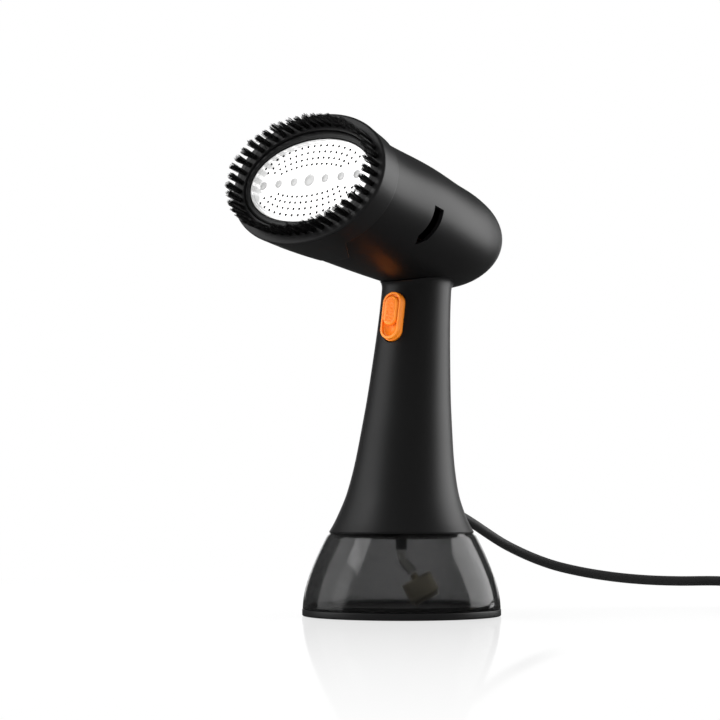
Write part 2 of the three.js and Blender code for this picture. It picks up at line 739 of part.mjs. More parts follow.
function buildBristles() {
  const names = ['right', 'top', 'left', 'bottom'];
  const quarters = names.map(() => []);
  for (const turn of rowPlaces()) {
    const quarter = Math.floor(((turn + Math.PI / 4) % (2 * Math.PI)) / (Math.PI / 2));
    quarters[quarter].push(turn);
  }
  const lean = Math.tan(THREE.MathUtils.degToRad(tuftLean));
  for (const [index, name] of names.entries()) {
    const middle = (index * Math.PI) / 2;
    let brush = quarterOf(tuftSeat(0), middle);
    for (const turn of quarters[index]) {
      const [c, s] = [Math.cos(turn), Math.sin(turn)];
      const out = new THREE.Vector2(c / rowHalfWidth, s / rowHalfHeight).normalize();
      const [x, y] = [rowHalfWidth * c, rowHalfHeight * s];
      for (let k = 0; k < strandsPerTuft; k++) {
        const inner = k < innerStrands;
        const share = inner ? k / innerStrands : (k - innerStrands) / (strandsPerTuft - innerStrands);
        const around = share * 2 * Math.PI + turn;
        const footRadius = inner ? tuftRootRadius / 2 : tuftRootRadius + 0.28;
        const tipRadius = inner ? tuftTipRadius / 2 : tuftTipRadius + 0.35;
        const reach = tuftLength - (inner ? 0 : 0.5 * (k % 3));
        const [ca, sa] = [Math.cos(around), Math.sin(around)];
        const foot = new THREE.Vector3(x + footRadius * ca, y + footRadius * sa, -backingThickness / 2);
        const spread = lean * reach;
        const tip = new THREE.Vector3(x + tipRadius * ca, y + tipRadius * sa, reach);
        tip.x += out.x * spread;
        tip.y += out.y * spread;
        brush = brush.add(strand(foot, tip, strandRadius, around));
      }
    }
    piece(`bristles_${name}`, brush, bristleBlack, frontGroup);
  }
}

// The quarter of a seat that lies round the direction `middle`, with a hair's gap to the next.
function quarterOf(seat, middle) {
  const slack = 0.006;            // radians
  const corner = (turn, reach) => [
    reach * rowHalfWidth * Math.cos(turn), reach * rowHalfHeight * Math.sin(turn),
  ];
  const shape = new THREE.Shape();
  shape.moveTo(...corner(middle, 0.01));
  shape.lineTo(...corner(middle - Math.PI / 4 + slack, 1.5));
  shape.lineTo(...corner(middle, 2.4));
  shape.lineTo(...corner(middle + Math.PI / 4 - slack, 1.5));
  const depth = backingThickness;
  const wedge = new THREE.ExtrudeGeometry(shape, { depth, bevelEnabled: false }).translate(0, 0, -depth);
  return seat.intersect(solid(wedge));
}

// ---------------------------------------------------------------- trigger
const triggerLean = Math.atan(leanSlope + 0.055);
const triggerGroup = new THREE.Group();   // local +Z points out of the handle's front
const triggerFront = leanAt(triggerHeight) - between(handleStations, triggerHeight - seamHeight);
triggerGroup.position.set(0, triggerFront, triggerHeight);
triggerGroup.rotation.x = Math.PI / 2 - triggerLean;
model.add(triggerGroup);

function triggerWindow() {
  const [w, l] = [triggerWidth + 2 * slideFit, triggerLength + 2 * slideFit];
  return placed(solid(roundedBlock(w, l, triggerCorner + slideFit, -12, 12)), triggerGroup);
}

function buildTrigger() {
  // rounded block whose front edge is drawn in
  const edge = 1.2;
  const levels = [
    [-triggerInside, 0], [triggerProud - edge, 0], [triggerProud - 0.3 * edge, 0.3 * edge],
    [triggerProud, edge],
  ];
  const rings = levels.map(([z, inset]) => roundedRing(triggerWidth, triggerLength, triggerCorner, inset, z));
  let body = solid(skinned(rings));
  const pocketLength = padLength + padTravel;
  const pocketCentre = triggerLength / 2 - padTop - pocketLength / 2;
  const pocketWidth = padWidth + 2 * slideFit;
  const pocketFloor = triggerProud - pocketDepth;
  const [pocketFit, pocketCorner] = [pocketLength + 2 * slideFit, pocketWidth / 2 - 0.05];
  const pocket = roundedBlock(pocketWidth, pocketFit, pocketCorner, pocketFloor, triggerProud + 3);
  body = body.subtract(solid(pocket.translate(0, pocketCentre, 0)));
  const slotLength = padTravel + stemLength + 1;
  const slot = roundedBlock(stemWidth + 2 * slideFit, slotLength, 1.1, -triggerInside - 1, triggerProud);
  body = body.subtract(solid(slot.translate(0, pocketCentre, 0)));
  const plunger = rod(plungerRadius, -triggerInside - plungerReach, -triggerInside + 1, 8);
  body = body.add(solid(plunger.translate(0, plungerPlace, 0)));
  piece('trigger', body, orange, triggerGroup);

  const padCentre = triggerLength / 2 - padTop - padLength / 2;
  const padFloor = triggerProud - pocketDepth + fit;
  const padLevels = [[padFloor, 0], [padFloor + padThickness - 0.5, 0], [padFloor + padThickness, 0.6]];
  const padCorner = padWidth / 2 - 0.1;
  const padRings = padLevels.map(([z, inset]) => roundedRing(padWidth, padLength, padCorner, inset, z));
  let pad = solid(skinned(padRings));
  const stemHeight = padFloor + triggerInside + 2;
  pad = pad.add(solid(block(stemWidth, stemLength, stemHeight, 0, 0, padFloor + 1 - stemHeight / 2)));
  const hookMiddle = -triggerInside - slideFit - hookHeight / 2;
  pad = pad.add(solid(block(hookWidth, stemLength, hookHeight, 0, 0, hookMiddle)));
  piece('lock_slider', pad.translate(0, padCentre, 0), orange, triggerGroup);

  const switchZ = -triggerInside - plungerReach - switchGap - triggerTravel - switchSize[1] / 2;
  const microswitch = block(switchSize[0], switchSize[2], switchSize[1], 0, 1, switchZ);
  piece('microswitch', microswitch, innerBlack, triggerGroup);
  buildTriggerSpring();
}

function roundedRing(width, length, corner, inset, z) {
  const points = [];
  const [w, l, r] = [width / 2 - corner, length / 2 - corner, corner - inset];
  for (let q = 0; q < 4; q++) {
    const [sx, sy] = [[1, 1], [-1, 1], [-1, -1], [1, -1]][q];
    for (let k = 0; k <= 3; k++) {
      const turn = (q + k / 3) * (Math.PI / 2);
      points.push(new THREE.Vector3(sx * w + r * Math.cos(turn), sy * l + r * Math.sin(turn), z));
    }
  }
  return points;
}

// Return spring round the plunger, between the trigger and the switch.
function buildTriggerSpring() {
  const start = -triggerInside - springWire - 0.1;
  class Helix extends THREE.Curve {
    getPoint(t, target = new THREE.Vector3()) {
      const turn = t * springTurns * 2 * Math.PI;
      const [x, y] = [springRadius * Math.cos(turn), springRadius * Math.sin(turn)];
      return target.set(x, plungerPlace + y, start - springLength * t);
    }
  }
  piece('trigger_spring', along(new Helix(), springWire, springTurns * 7, 5), steel, triggerGroup);
}

// ---------------------------------------------------------------- inside the handle
const gripLean = Math.atan2(leanAt(chassisTop) - leanAt(gripBase), chassisTop - gripBase);
const gripGroup = new THREE.Group();      // local +Z runs up the column's own axis
gripGroup.position.set(0, leanAt(gripBase), gripBase);
gripGroup.rotation.x = -gripLean;
model.add(gripGroup);

function buildGrip() {
  const plateBottom = footDeckTop + fit + 1 - gripBase;
  const plateTop = chassisTop - gripBase;
  const middle = (plateTop + plateBottom) / 2;
  const chassis = block(chassisWidth, chassisThickness, plateTop - plateBottom, 0, chassisOffset, middle);
  piece('chassis', chassis, innerBlack, gripGroup);

  const front = chassisOffset - chassisThickness / 2 - fit;
  const pumpY = front - pumpRadius - 1.2;
  const z0 = pumpBase - gripBase;
  const z1 = z0 + pumpLength;
  const pump = turned([
    [0, z0 - pumpNippleLength], [pumpNippleRadius, z0 - pumpNippleLength], [pumpNippleRadius, z0], [8, z0],
    [8, z0 + 4], [pumpRadius, z0 + 5], [pumpRadius, z1 - 7], [7, z1 - 6], [7, z1],
    [pumpNippleRadius, z1], [pumpNippleRadius, z1 + pumpNippleLength], [0, z1 + pumpNippleLength],
  ], 16).translate(0, pumpY, 0);
  piece('pump', pump, whiteSilicone, gripGroup);

  const clampZ = z0 + 16;
  const clampTop = clampZ + clampHeight;
  const clampRadius = pumpRadius + fit + clampWall;
  let clamp = solid(rod(clampRadius, clampZ, clampTop, 18).translate(0, pumpY, 0));
  clamp = clamp.add(solid(block(18, 5, clampHeight, 0, front - 2.5, clampZ + clampHeight / 2)));
  clamp = clamp.subtract(solid(rod(pumpRadius + fit, clampZ - 1, clampTop + 1, 18).translate(0, pumpY, 0)));
  const span = 1.5 * seamRadius;
  clamp = clamp.intersect(solid(block(span, span, span, 0, front - span / 2, clampZ)));
  piece('pump_clamp', clamp, innerBlack, gripGroup);

  const boardY = chassisOffset + chassisThickness / 2 + fit + boardSize[1] / 2;
  piece('control_board', block(...boardSize, 0, boardY, boardCentre), boardGreen, gripGroup);
  return pumpY;
}

function gripPoint(x, y, z) {
  gripGroup.updateMatrixWorld(true);
  return new THREE.Vector3(x, y, z).applyMatrix4(gripGroup.matrixWorld).toArray();
}

// A point that is placed from the column's own middle line.
function columnPoint(x, y, height) {
  return [x, leanAt(height) + y, height];
}

function facePoint(x, y, z) {
  frontGroup.updateMatrixWorld(true);
  return new THREE.Vector3(x, y, z).applyMatrix4(frontGroup.matrixWorld).toArray();
}

function buildTubesAndLeads(pumpY, coverBack) {
  const pumpInlet = pumpBase - gripBase - pumpNippleLength - fit;
  const pumpOutlet = pumpBase - gripBase + pumpLength + pumpNippleLength + fit;
  const inlet = [
    [0, 0, footNippleTop + fit], [0, 0, footNippleTop + 2.5],
    gripPoint(0, pumpY, pumpInlet - 2.5), gripPoint(0, pumpY, pumpInlet),
  ];
  piece('inlet_tube', hose(inlet, tubeRadius, 8), clearSilicone);

  const nipple = facePoint(coverNippleX, 0, -coverBack - coverNippleLength - fit);
  const beforeNipple = facePoint(coverNippleX, 0, -coverBack - coverNippleLength - 4);
  const outlet = [
    gripPoint(0, pumpY, pumpOutlet), gripPoint(0, pumpY, pumpOutlet + 3),
    gripPoint(-tubeSide / 2, pumpY + 4, pumpOutlet + 10),
    columnPoint(-tubeSide, 1, chassisTop - 21), columnPoint(-tubeSide, 0, chassisTop - 4),
    columnPoint(-tubeSide, -1.5, neckTop - 6), columnPoint(-tubeSide, -3, neckTop + 3),
    [-tubeSide - 4.4, barrelEnd.y - 23.5, barrelEnd.z - 6.8],
    [coverNippleX + 5, barrelEnd.y - 45.5, barrelEnd.z + 1.2],
    beforeNipple, nipple,
  ];
  piece('outlet_tube', hose(outlet, tubeRadius, 26, 6), clearSilicone);

  const clampTop = footDeckTop + fit + cordClampSize[2] + fit;
  const lead = [
    [0, cordClampY, clampTop], [0, cordClampY, clampTop + 2.2], gripPoint(0, 17.2, 1), gripPoint(0, 14.2, 8),
    gripPoint(0, 13.4, 14),
  ];
  piece('supply_lead', hose(lead, leadRadius, 6, 6), rubber);
  const boardTop = boardCentre + boardSize[2] / 2 + fit;
  const leadY = chassisOffset + chassisThickness / 2 + fit + leadRadius;
  const elementBack = -coverBack - 2 * fit - 2 * elementRadius;
  const heaterLead = [
    gripPoint(leadSide, leadY, boardTop), gripPoint(leadSide, leadY, boardTop + 8),
    gripPoint(leadSide, leadY, chassisTop - gripBase - 31),
    gripPoint(leadSide, leadY + 0.4, chassisTop - gripBase - 1.5),
    columnPoint(leadSide, 7.5, neckBottom + 0.4), columnPoint(leadSide + 0.3, 4, neckTop + 2),
    [leadSide + 4.5, barrelEnd.y - 15.5, barrelEnd.z - 7.8],
    [leadSide + 11.5, barrelEnd.y - 41.5, barrelEnd.z - 4.8],
    facePoint(elementLength / 2, -elementHalfWidth, elementBack - 10),
    facePoint(elementLength / 2, -elementHalfWidth, elementBack),
  ];
  piece('heater_lead', hose(heaterLead, leadRadius, 28, 5), copper);
}

// ---------------------------------------------------------------- foot, seal, hose and sinker
function buildFoot() {
  const deckRadius = between(handleStations, 2) - handleWall - fit - 0.6;
  const spigotRadius = seamRadius - tankWall - spigotClearance;
  const seam = seamHeight + seamGap / 2;
  const sealHeight = seamHeight - mouthHeight / 2 - 0.4;
  const spigotBottom = seamHeight - spigotReach;
  const sealRadius = seamRadius - tankWall - fit - sealSection;
  const grooveRadius = sealRadius - sealSection - fit;
  const grooveHalf = sealSection + fit / 2;
  const outline = [
    [spigotRadius - spigotWall - 1, spigotBottom], [spigotRadius, spigotBottom],
    [spigotRadius, sealHeight - grooveHalf], [grooveRadius, sealHeight - grooveHalf],
    [grooveRadius, sealHeight + grooveHalf], [spigotRadius, sealHeight + grooveHalf],
    [spigotRadius, seam - 1.2], [deckRadius - 1, seam - 0.4], [deckRadius - 1, footDeckTop - 1.6],
    [deckRadius - 2, footDeckTop],
    [footNippleRadius + 1.6, footDeckTop], [footNippleRadius, footDeckTop + 1],
    [footNippleRadius, footNippleTop], [footNippleBore, footNippleTop],
    [footNippleBore, footNippleBottom], [footNippleRadius, footNippleBottom],
    [footNippleRadius, footDeckTop - footDeck - 3], [9, footDeckTop - footDeck - 3],
    [9, footDeckTop - footDeck], [spigotRadius - spigotWall - 1, footDeckTop - footDeck],
  ];
  piece('foot_plate', turned(outline, innerRound), innerBlack);

  const seal = [];
  for (let i = 0; i < sealSides; i++) {
    const turn = (i / sealSides) * 2 * Math.PI;
    seal.push([sealRadius + sealSection * Math.cos(turn), sealHeight + sealSection * Math.sin(turn)]);
  }
  piece('tank_seal', turned(seal, innerRound), rubber);

  const tilt = THREE.MathUtils.degToRad(sinkerLean);
  const away = new THREE.Vector3(sinkerCentre.x, sinkerCentre.y, 0).normalize();
  const axis = away.clone().multiplyScalar(Math.cos(tilt));
  axis.z = -Math.sin(tilt);
  const sinkerGroup = new THREE.Group();
  sinkerGroup.position.copy(sinkerCentre);
  sinkerGroup.quaternion.setFromUnitVectors(new THREE.Vector3(0, 0, 1), axis);
  model.add(sinkerGroup);
  const half = sinkerLength / 2;
  const body = turned([
    [0, -half - 3], [2.2, -half - 3], [2.2, -half], [sinkerRadius - 0.8, -half], [sinkerRadius, -half + 0.8],
    [sinkerRadius, half - 0.8], [sinkerRadius - 0.8, half], [0, half],
  ], 18);
  piece('sinker', body, brass, sinkerGroup);
  const filterFace = half + fit;
  const filter = rod(sinkerRadius - 1.4, filterFace, filterFace + filterThickness, 16);
  piece('sinker_filter', filter, beige, sinkerGroup);

  const end = sinkerCentre.clone().addScaledVector(axis, -half - 3 - fit);
  const sag = ([across, height]) => [away.x * across, away.y * across, height];
  const top = footNippleBottom - hoseGap;
  const before = end.clone().addScaledVector(axis, -1.5);
  const hosePoints = [[0, 0, top], [0, 0, top - 2.5], ...hoseBow.map(sag), before.toArray(), end.toArray()];
  piece('suction_hose', hose(hosePoints, hoseRadius, 12), clearSilicone);
}

// ---------------------------------------------------------------- tank
function bell(inset, steps) {
  const curve = new THREE.QuadraticBezierCurve(
    new THREE.Vector2(tankRadius - inset, baseHeight + fit),
    new THREE.Vector2(tankRadius - inset - 0.1, tankShoulderHeight),
    new THREE.Vector2(seamRadius - inset, seamHeight - seamGap / 2),
  );
  return curve.getPoints(steps).map((p) => [p.x, p.y]);
}

function buildTank() {
  const outside = bell(0, 7);
  const mouthRadius = seamRadius - tankWall;
  const inside = bell(tankWall, 5).filter(([, z]) => z < seamHeight - mouthHeight - 1.2).reverse();
  const mouth = [[mouthRadius, seamHeight - seamGap / 2], [mouthRadius, seamHeight - mouthHeight]];
  const outline = [...outside, ...mouth, ...inside];
  piece('tank_shell', turned(outline, round), smoked);

  const upstandOuter = tankRadius - tankWall - fit;
  const upstandInner = upstandOuter - baseUpstandWall;
  const upstandTop = baseHeight + baseUpstand;
  const base = [
    [0, 0], [baseRadius - baseEdge, 0], [baseRadius, baseEdge],
    [baseRadius, baseHeight - baseTopEdge], [baseRadius - baseTopEdge, baseHeight],
    [upstandOuter, baseHeight], [upstandOuter, upstandTop], [upstandInner, upstandTop],
    [upstandInner, baseHeight], [0, baseHeight],
  ];
  piece('tank_base', turned(base, round), glossBlack);
}

// ---------------------------------------------------------------- mains lead
const reliefAngle = THREE.MathUtils.degToRad(reliefDrop);
const reliefDirection = new THREE.Vector3(0, Math.cos(reliefAngle), -Math.sin(reliefAngle));
const reliefTip = reliefRoot.clone().addScaledVector(reliefDirection, reliefLength);

function alongRelief(geometry) {
  const turn = new THREE.Quaternion().setFromUnitVectors(new THREE.Vector3(0, 0, 1), reliefDirection);
  return geometry.applyQuaternion(turn).translate(reliefRoot.x, reliefRoot.y, reliefRoot.z);
}

function reliefHole() {
  return solid(alongRelief(rod(reliefRadius + fit, -3, 12, 14)));
}

// Free stretch of the lead, from the strain relief down to the floor and back to the coil.
const leadRoute = [
  [1.6, 68.7, 51.7], [8.8, 90.7, 39.6], [14.2, 100, 34.5], [20.3, 108.2, 30.2], [28.8, 117.2, 25.9],
  [41.3, 128.9, 21.9], [56.1, 141.7, 18.8], [71, 154.3, 17], [85.9, 166.8, 16.3], [105.3, 183.9, 16.2],
  [122, 199.5, 14.2], [136.5, 213.5, 10.8], [148.2, 223.2, 7.6], [161.7, 228.6, 5.2], [178, 227.6, 3.7],
];

function buildLead() {
  const relief = turned([
    [0, -3.4], [reliefFlange, -3.4], [reliefFlange, -1.4], [reliefRadius, -1.2], [reliefRadius, 5],
    [reliefRadius - 0.2, 9], [reliefTipRadius + 0.6, reliefLength - 8], [reliefTipRadius, reliefLength],
    [0, reliefLength],
  ], 14);
  piece('strain_relief', alongRelief(relief), rubber);
  const clampMiddle = footDeckTop + fit + cordClampSize[2] / 2;
  piece('cord_clamp', block(...cordClampSize, 0, cordClampY, clampMiddle), innerBlack);

  const coil = coilCurve();
  const coilStart = coil.getPoint(0);
  const coilEntry = coil.getTangent(0);
  const from = reliefTip.clone().addScaledVector(reliefDirection, fit);
  const last = coilStart.clone().addScaledVector(coilEntry, -fit);
  const route = [
    from, from.clone().addScaledVector(reliefDirection, 5),
    ...leadRoute.map((p) => new THREE.Vector3(...p)),
    last.clone().addScaledVector(coilEntry, -9), last,
  ];
  const free = new THREE.CatmullRomCurve3(route, false, 'centripetal');
  piece('mains_lead', along(free, cordRadius, 38, 8), rubber);
  piece('lead_coil', along(coil, cordRadius, Math.ceil(coilTurns * 24) + 4, 6), rubber);
  const [freeLength, coilLength] = [free, coil].map((curve) => curve.getLength().toFixed(0));
  console.log(`lead: free stretch ${freeLength} mm, coil ${coilLength} mm`);

  // plug at the coil's far end
  const end = coil.getPoint(1);
  const heading = coil.getTangent(1).setZ(0).normalize();
  const plugGroup = new THREE.Group();
  plugGroup.position.copy(end).addScaledVector(heading, fit);
  plugGroup.rotation.z = Math.atan2(heading.y, heading.x) - Math.PI / 2;
  model.add(plugGroup);
  const [width, length, height] = plugBody;
  const rings = [[0, 4.2, 4.2], [12, 5.4, 5.2], [15, width / 2 - 1.5, height / 2 - 1.2],
    [19, width / 2, height / 2], [length - 1, width / 2, height / 2], [length, width / 2 - 1, height / 2 - 1]]
    .map(([y, w, h]) => plugRing(y, w, h));
  piece('plug_body', skinned(rings), rubber, plugGroup);
  for (const side of [-1, 1]) {
    const blade = block(...bladeSize, side * bladeSpacing / 2, length + fit + bladeSize[1] / 2, 0);
    piece(side < 0 ? 'plug_blade_left' : 'plug_blade_right', blade, brass, plugGroup);
  }
}

// One section of the plug: a circle pressed towards a rectangle.
function plugRing(y, halfWidth, halfHeight) {
  const points = [];
  const sides = 16;
  const square = (v) => Math.sign(v) * Math.pow(Math.abs(v), 0.62);
  for (let i = 0; i < sides; i++) {
    const turn = (i / sides) * 2 * Math.PI;
    const [x, z] = [halfWidth * square(Math.cos(turn)), halfHeight * square(Math.sin(turn))];
    points.push(new THREE.Vector3(x, y, z));
  }
  return points;
}

// The coil: the bottom layer winds inwards, climbs in the half turn where it reverses,
// and the top layer winds out again. Both ends run straight for a stretch.
function coilCurve() {
  const floorZ = cordRadius + 0.25;
  const climb = coilPitch;
  const turnsIn = (coilTurns - 0.5) / 2;
  const innerRadius = coilMeanRadius - (coilPitch * (turnsIn + 0.25)) / 2;
  const startTurn = THREE.MathUtils.degToRad(coilStartAngle);
  const winding = (t) => {
    const turn = t * coilTurns;
    const share = THREE.MathUtils.clamp((turn - turnsIn) / 0.5, 0, 1);
    const z = floorZ + climb * share * share * (3 - 2 * share);
    const radius = innerRadius + coilPitch * Math.abs(turn - turnsIn - 0.25);
    const angle = startTurn - turn * 2 * Math.PI;
    return new THREE.Vector3(
      coilCentre.x + radius * Math.cos(angle), coilCentre.y + radius * Math.sin(angle), z);
  };
  const straight = 2 * cordRadius + 2;
  const steps = Math.round(coilTurns * 24);
  const points = [];
  for (let i = 0; i <= steps; i++) points.push(winding(i / steps));
  const entry = points[0].clone().sub(points[1]).normalize();
  const exit = points[steps].clone().sub(points[steps - 1]).setZ(0).normalize();
  points.unshift(points[0].clone().addScaledVector(entry, straight));
  points.push(points[steps + 1].clone().addScaledVector(exit, straight + plugStretch));
  reportSelfGap(points);
  return new THREE.CatmullRomCurve3(points, false, 'centripetal');
}

// Least gap between stretches of the coil that are more than half a turn apart.
function reportSelfGap(points) {
  let least = Infinity;
  for (let i = 0; i < points.length; i++) {
    for (let j = i + 12; j < points.length; j++) least = Math.min(least, points[i].distanceTo(points[j]));
  }
  console.log('coil: least gap to itself', (least - 2 * cordRadius).toFixed(2), 'mm');
}

// ---------------------------------------------------------------- assembly
buildHead();
const coverBack = buildNose();
buildBrushRing();
buildBristles();
buildTrigger();
const pumpY = buildGrip();
buildTubesAndLeads(pumpY, coverBack);
buildFoot();
buildTank();
buildLead();

export default model;
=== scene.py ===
# %% [markdown]
# # Dressing a hand-held garment steamer
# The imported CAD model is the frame: it says where every piece is and what moves.
# This lesson builds the fine surfaces over it, cell by cell: first the camera, then the
# finishes, then each moulding from the head down to the floor, and last the studio.

# %% Load the frame
import json
import math

import bmesh
import bpy
import numpy as np
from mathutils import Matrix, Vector, geometry


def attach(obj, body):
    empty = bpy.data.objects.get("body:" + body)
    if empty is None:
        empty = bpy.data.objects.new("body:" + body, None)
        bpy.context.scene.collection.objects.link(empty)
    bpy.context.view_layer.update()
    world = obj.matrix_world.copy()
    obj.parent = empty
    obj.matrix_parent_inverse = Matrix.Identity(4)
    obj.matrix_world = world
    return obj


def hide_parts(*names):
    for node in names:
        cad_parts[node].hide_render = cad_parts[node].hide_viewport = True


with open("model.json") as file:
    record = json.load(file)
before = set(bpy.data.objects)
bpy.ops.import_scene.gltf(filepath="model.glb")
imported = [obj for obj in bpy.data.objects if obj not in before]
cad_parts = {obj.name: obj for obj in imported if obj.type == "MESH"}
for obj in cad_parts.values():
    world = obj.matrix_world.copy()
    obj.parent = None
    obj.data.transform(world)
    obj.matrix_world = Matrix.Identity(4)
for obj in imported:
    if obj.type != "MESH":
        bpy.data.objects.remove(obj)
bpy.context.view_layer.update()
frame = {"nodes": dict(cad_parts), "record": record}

print("nodes in the frame:", len(frame["nodes"]))

# %% [markdown]
# ## The camera
# A long lens a good metre away, just above the table, looks up at the head a little.
# Its place is given round the object: how far it has turned from the front, how far off it
# stands and how high. The focal length is in pixels of a 720 pixel picture, as a fit gives it.

# %% Camera
MM = 0.001
PICTURE = 720                      # pixels, both ways
SENSOR = 36                        # mm
FOCAL_PIXELS = 1965.2
CAMERA_TURN = math.radians(35.82)  # from the front, -Y, towards +X
CAMERA_AWAY = 1115.06 * MM
CAMERA_HEIGHT = 60.53 * MM
CAMERA_YAW = -0.021
CAMERA_PITCH = 0.075

scene = bpy.context.scene
inward = Vector((-math.sin(CAMERA_TURN), math.cos(CAMERA_TURN), 0))
rightward = Vector((math.cos(CAMERA_TURN), math.sin(CAMERA_TURN), 0))
level_view = inward * math.cos(CAMERA_YAW) + rightward * math.sin(CAMERA_YAW)
view = level_view * math.cos(CAMERA_PITCH) + Vector((0, 0, math.sin(CAMERA_PITCH)))
camera_data = bpy.data.cameras.new("camera")
camera_data.sensor_width = SENSOR
camera_data.lens = FOCAL_PIXELS / PICTURE * SENSOR
camera_data.clip_end = 50
camera = bpy.data.objects.new("camera", camera_data)
camera.location = -inward * CAMERA_AWAY + Vector((0, 0, CAMERA_HEIGHT))
camera.rotation_mode = "QUATERNION"
camera.rotation_quaternion = view.to_track_quat("-Z", "Y")
scene.collection.objects.link(camera)
scene.camera = camera
scene.view_settings.view_transform = "Standard"
print("lens", round(camera_data.lens, 1), "mm, camera at", [round(c, 3) for c in camera.location])

# %% [markdown]
# ## A small language for shaders
# A finish is easier to read as arithmetic than as a drawing of nodes. `Value` wraps one
# socket, so that `0.4 + 0.1 * cloud` adds its Math nodes, and `Finish.add` makes any other
# node from its type, its settings and the values or links of its sockets.

# %% Shader helpers
finishes = {}                      # every finish of the object, by name


class Value:
    """One output in a node tree. Arithmetic on it makes Math nodes."""

    def __init__(self, finish, output):
        self.finish, self.output = finish, output

    def math(self, operation, *terms):
        sockets = dict(enumerate(terms))
        return self.finish.add("Math", {"operation": operation}, sockets)

    def __add__(self, other):
        return self.math("ADD", self, other)

    def __sub__(self, other):
        return self.math("SUBTRACT", self, other)

    def __rsub__(self, other):
        return self.math("SUBTRACT", other, self)

    def __mul__(self, other):
        return self.math("MULTIPLY", self, other)

    __radd__ = __add__
    __rmul__ = __mul__

    def steps(self, low, high):
        """0 below low, 1 above high, and smooth between."""
        sockets = {"Value": self, "From Min": low, "From Max": high}
        return self.finish.add("MapRange", {"interpolation_type": "SMOOTHSTEP"}, sockets)


class Finish:
    """A material round one Principled shader, kept among the finishes."""

    def __init__(self, name, **constants):
        finishes[name] = bpy.data.materials.new(name)
        finishes[name].use_nodes = True
        self.tree = finishes[name].node_tree
        self.shader = self.tree.nodes["Principled BSDF"]
        for socket, value in constants.items():
            self.shader.inputs[socket.replace("_", " ")].default_value = value

    def add(self, kind, settings=None, sockets=None, output=0):
        node = self.tree.nodes.new("ShaderNode" + kind)
        for key, value in (settings or {}).items():
            setattr(node, key, value)
        for key, value in (sockets or {}).items():
            self.feed(node.inputs[key], value)
        return None if output is None else Value(self, node.outputs[output])

    def feed(self, socket, value):
        if isinstance(value, Value):
            self.tree.links.new(value.output, socket)
        else:
            socket.default_value = value

    def set(self, socket, value):
        self.feed(self.shader.inputs[socket], value)

    def place(self):
        """Where a point lies on the object, in metres."""
        return self.add("TexCoord", output="Object")

    def noise(self, scale, detail, stretch=None):
        where = self.place()
        if stretch:
            where = self.add("Mapping", {}, {"Vector": where, "Scale": stretch})
        return self.add("TexNoise", {}, {"Vector": where, "Scale": scale, "Detail": detail})

    def dot(self, where, direction):
        sockets = {0: where, 1: tuple(map(float, direction))}
        return self.add("VectorMath", {"operation": "DOT_PRODUCT"}, sockets, output="Value")

    def mix(self, factor, first, second):
        return self.add("Mix", {"data_type": "RGBA"}, {0: factor, 6: first, 7: second}, output=2)

    def between(self, factor, first, second):
        return self.mix(factor, (*first, 1), (*second, 1))

    def bump(self, height, distance):
        self.set("Normal", self.add("Bump", {}, {"Height": height, "Distance": distance}))


def shade(colour, factor):
    return tuple(min(1.0, channel * factor) for channel in colour)


print("a colour at half its brightness:", shade((0.8, 0.6, 0.4), 0.5))

# %% [markdown]
# ## Moulded plastics
# The housing is satin black: a spark-eroded mould gives it a very fine grain that spreads
# every highlight. The ring and the base come from a polished mould, so they are glossier.
# One recipe serves all of them, with the grain's depth, the gloss and the colour as inputs.

# %% Plastic recipe
def plastic(name, colour, roughness, grain=0.012 * MM, clouds=0.05):
    finish = Finish(name)
    cloud = finish.noise(22, 3)
    fine = finish.noise(2600, 1)
    finish.set("Base Color", finish.between(cloud, shade(colour, 1 - clouds), shade(colour, 1 + clouds)))
    finish.set("Roughness", roughness - 0.035 + 0.04 * cloud + 0.03 * fine)
    finish.bump(fine, grain)


def metal(name, colour, roughness, brush=(1, 1, 12), depth=0.01 * MM, metallic=1.0):
    finish = Finish(name, Metallic=metallic)
    streak = finish.noise(420, 3, stretch=brush)
    cloud = finish.noise(35, 3)
    finish.set("Base Color", finish.between(cloud, shade(colour, 0.9), shade(colour, 1.06)))
    finish.set("Roughness", roughness - 0.06 + 0.12 * streak)
    finish.bump(streak, depth)


plastic("satin_black_plastic", (0.0055, 0.0055, 0.0058), 0.43)
plastic("gloss_black_plastic", (0.008, 0.008, 0.0083), 0.4, grain=0.004 * MM)
plastic("inner_black_plastic", (0.012, 0.012, 0.0125), 0.5)
plastic("orange_plastic", (1.0, 0.262, 0.012), 0.42, clouds=0.02)
plastic("white_moulding", (0.72, 0.7, 0.66), 0.45)
plastic("board_green", (0.02, 0.11, 0.04), 0.4, clouds=0.2)
plastic("beige_ceramic", (0.6, 0.54, 0.42), 0.6, grain=0.03 * MM, clouds=0.1)
plastic("copper_wire", (0.2, 0.05, 0.03), 0.4)
metal("cast_aluminium", (0.6, 0.6, 0.61), 0.45, brush=(1, 1, 1), depth=0.05 * MM)
metal("bright_steel", (0.62, 0.62, 0.63), 0.3)
metal("sinker_brass", (0.86, 0.78, 0.58), 0.45, brush=(1, 1, 1), metallic=0.3)
print("plastics and metals:", len(finishes))
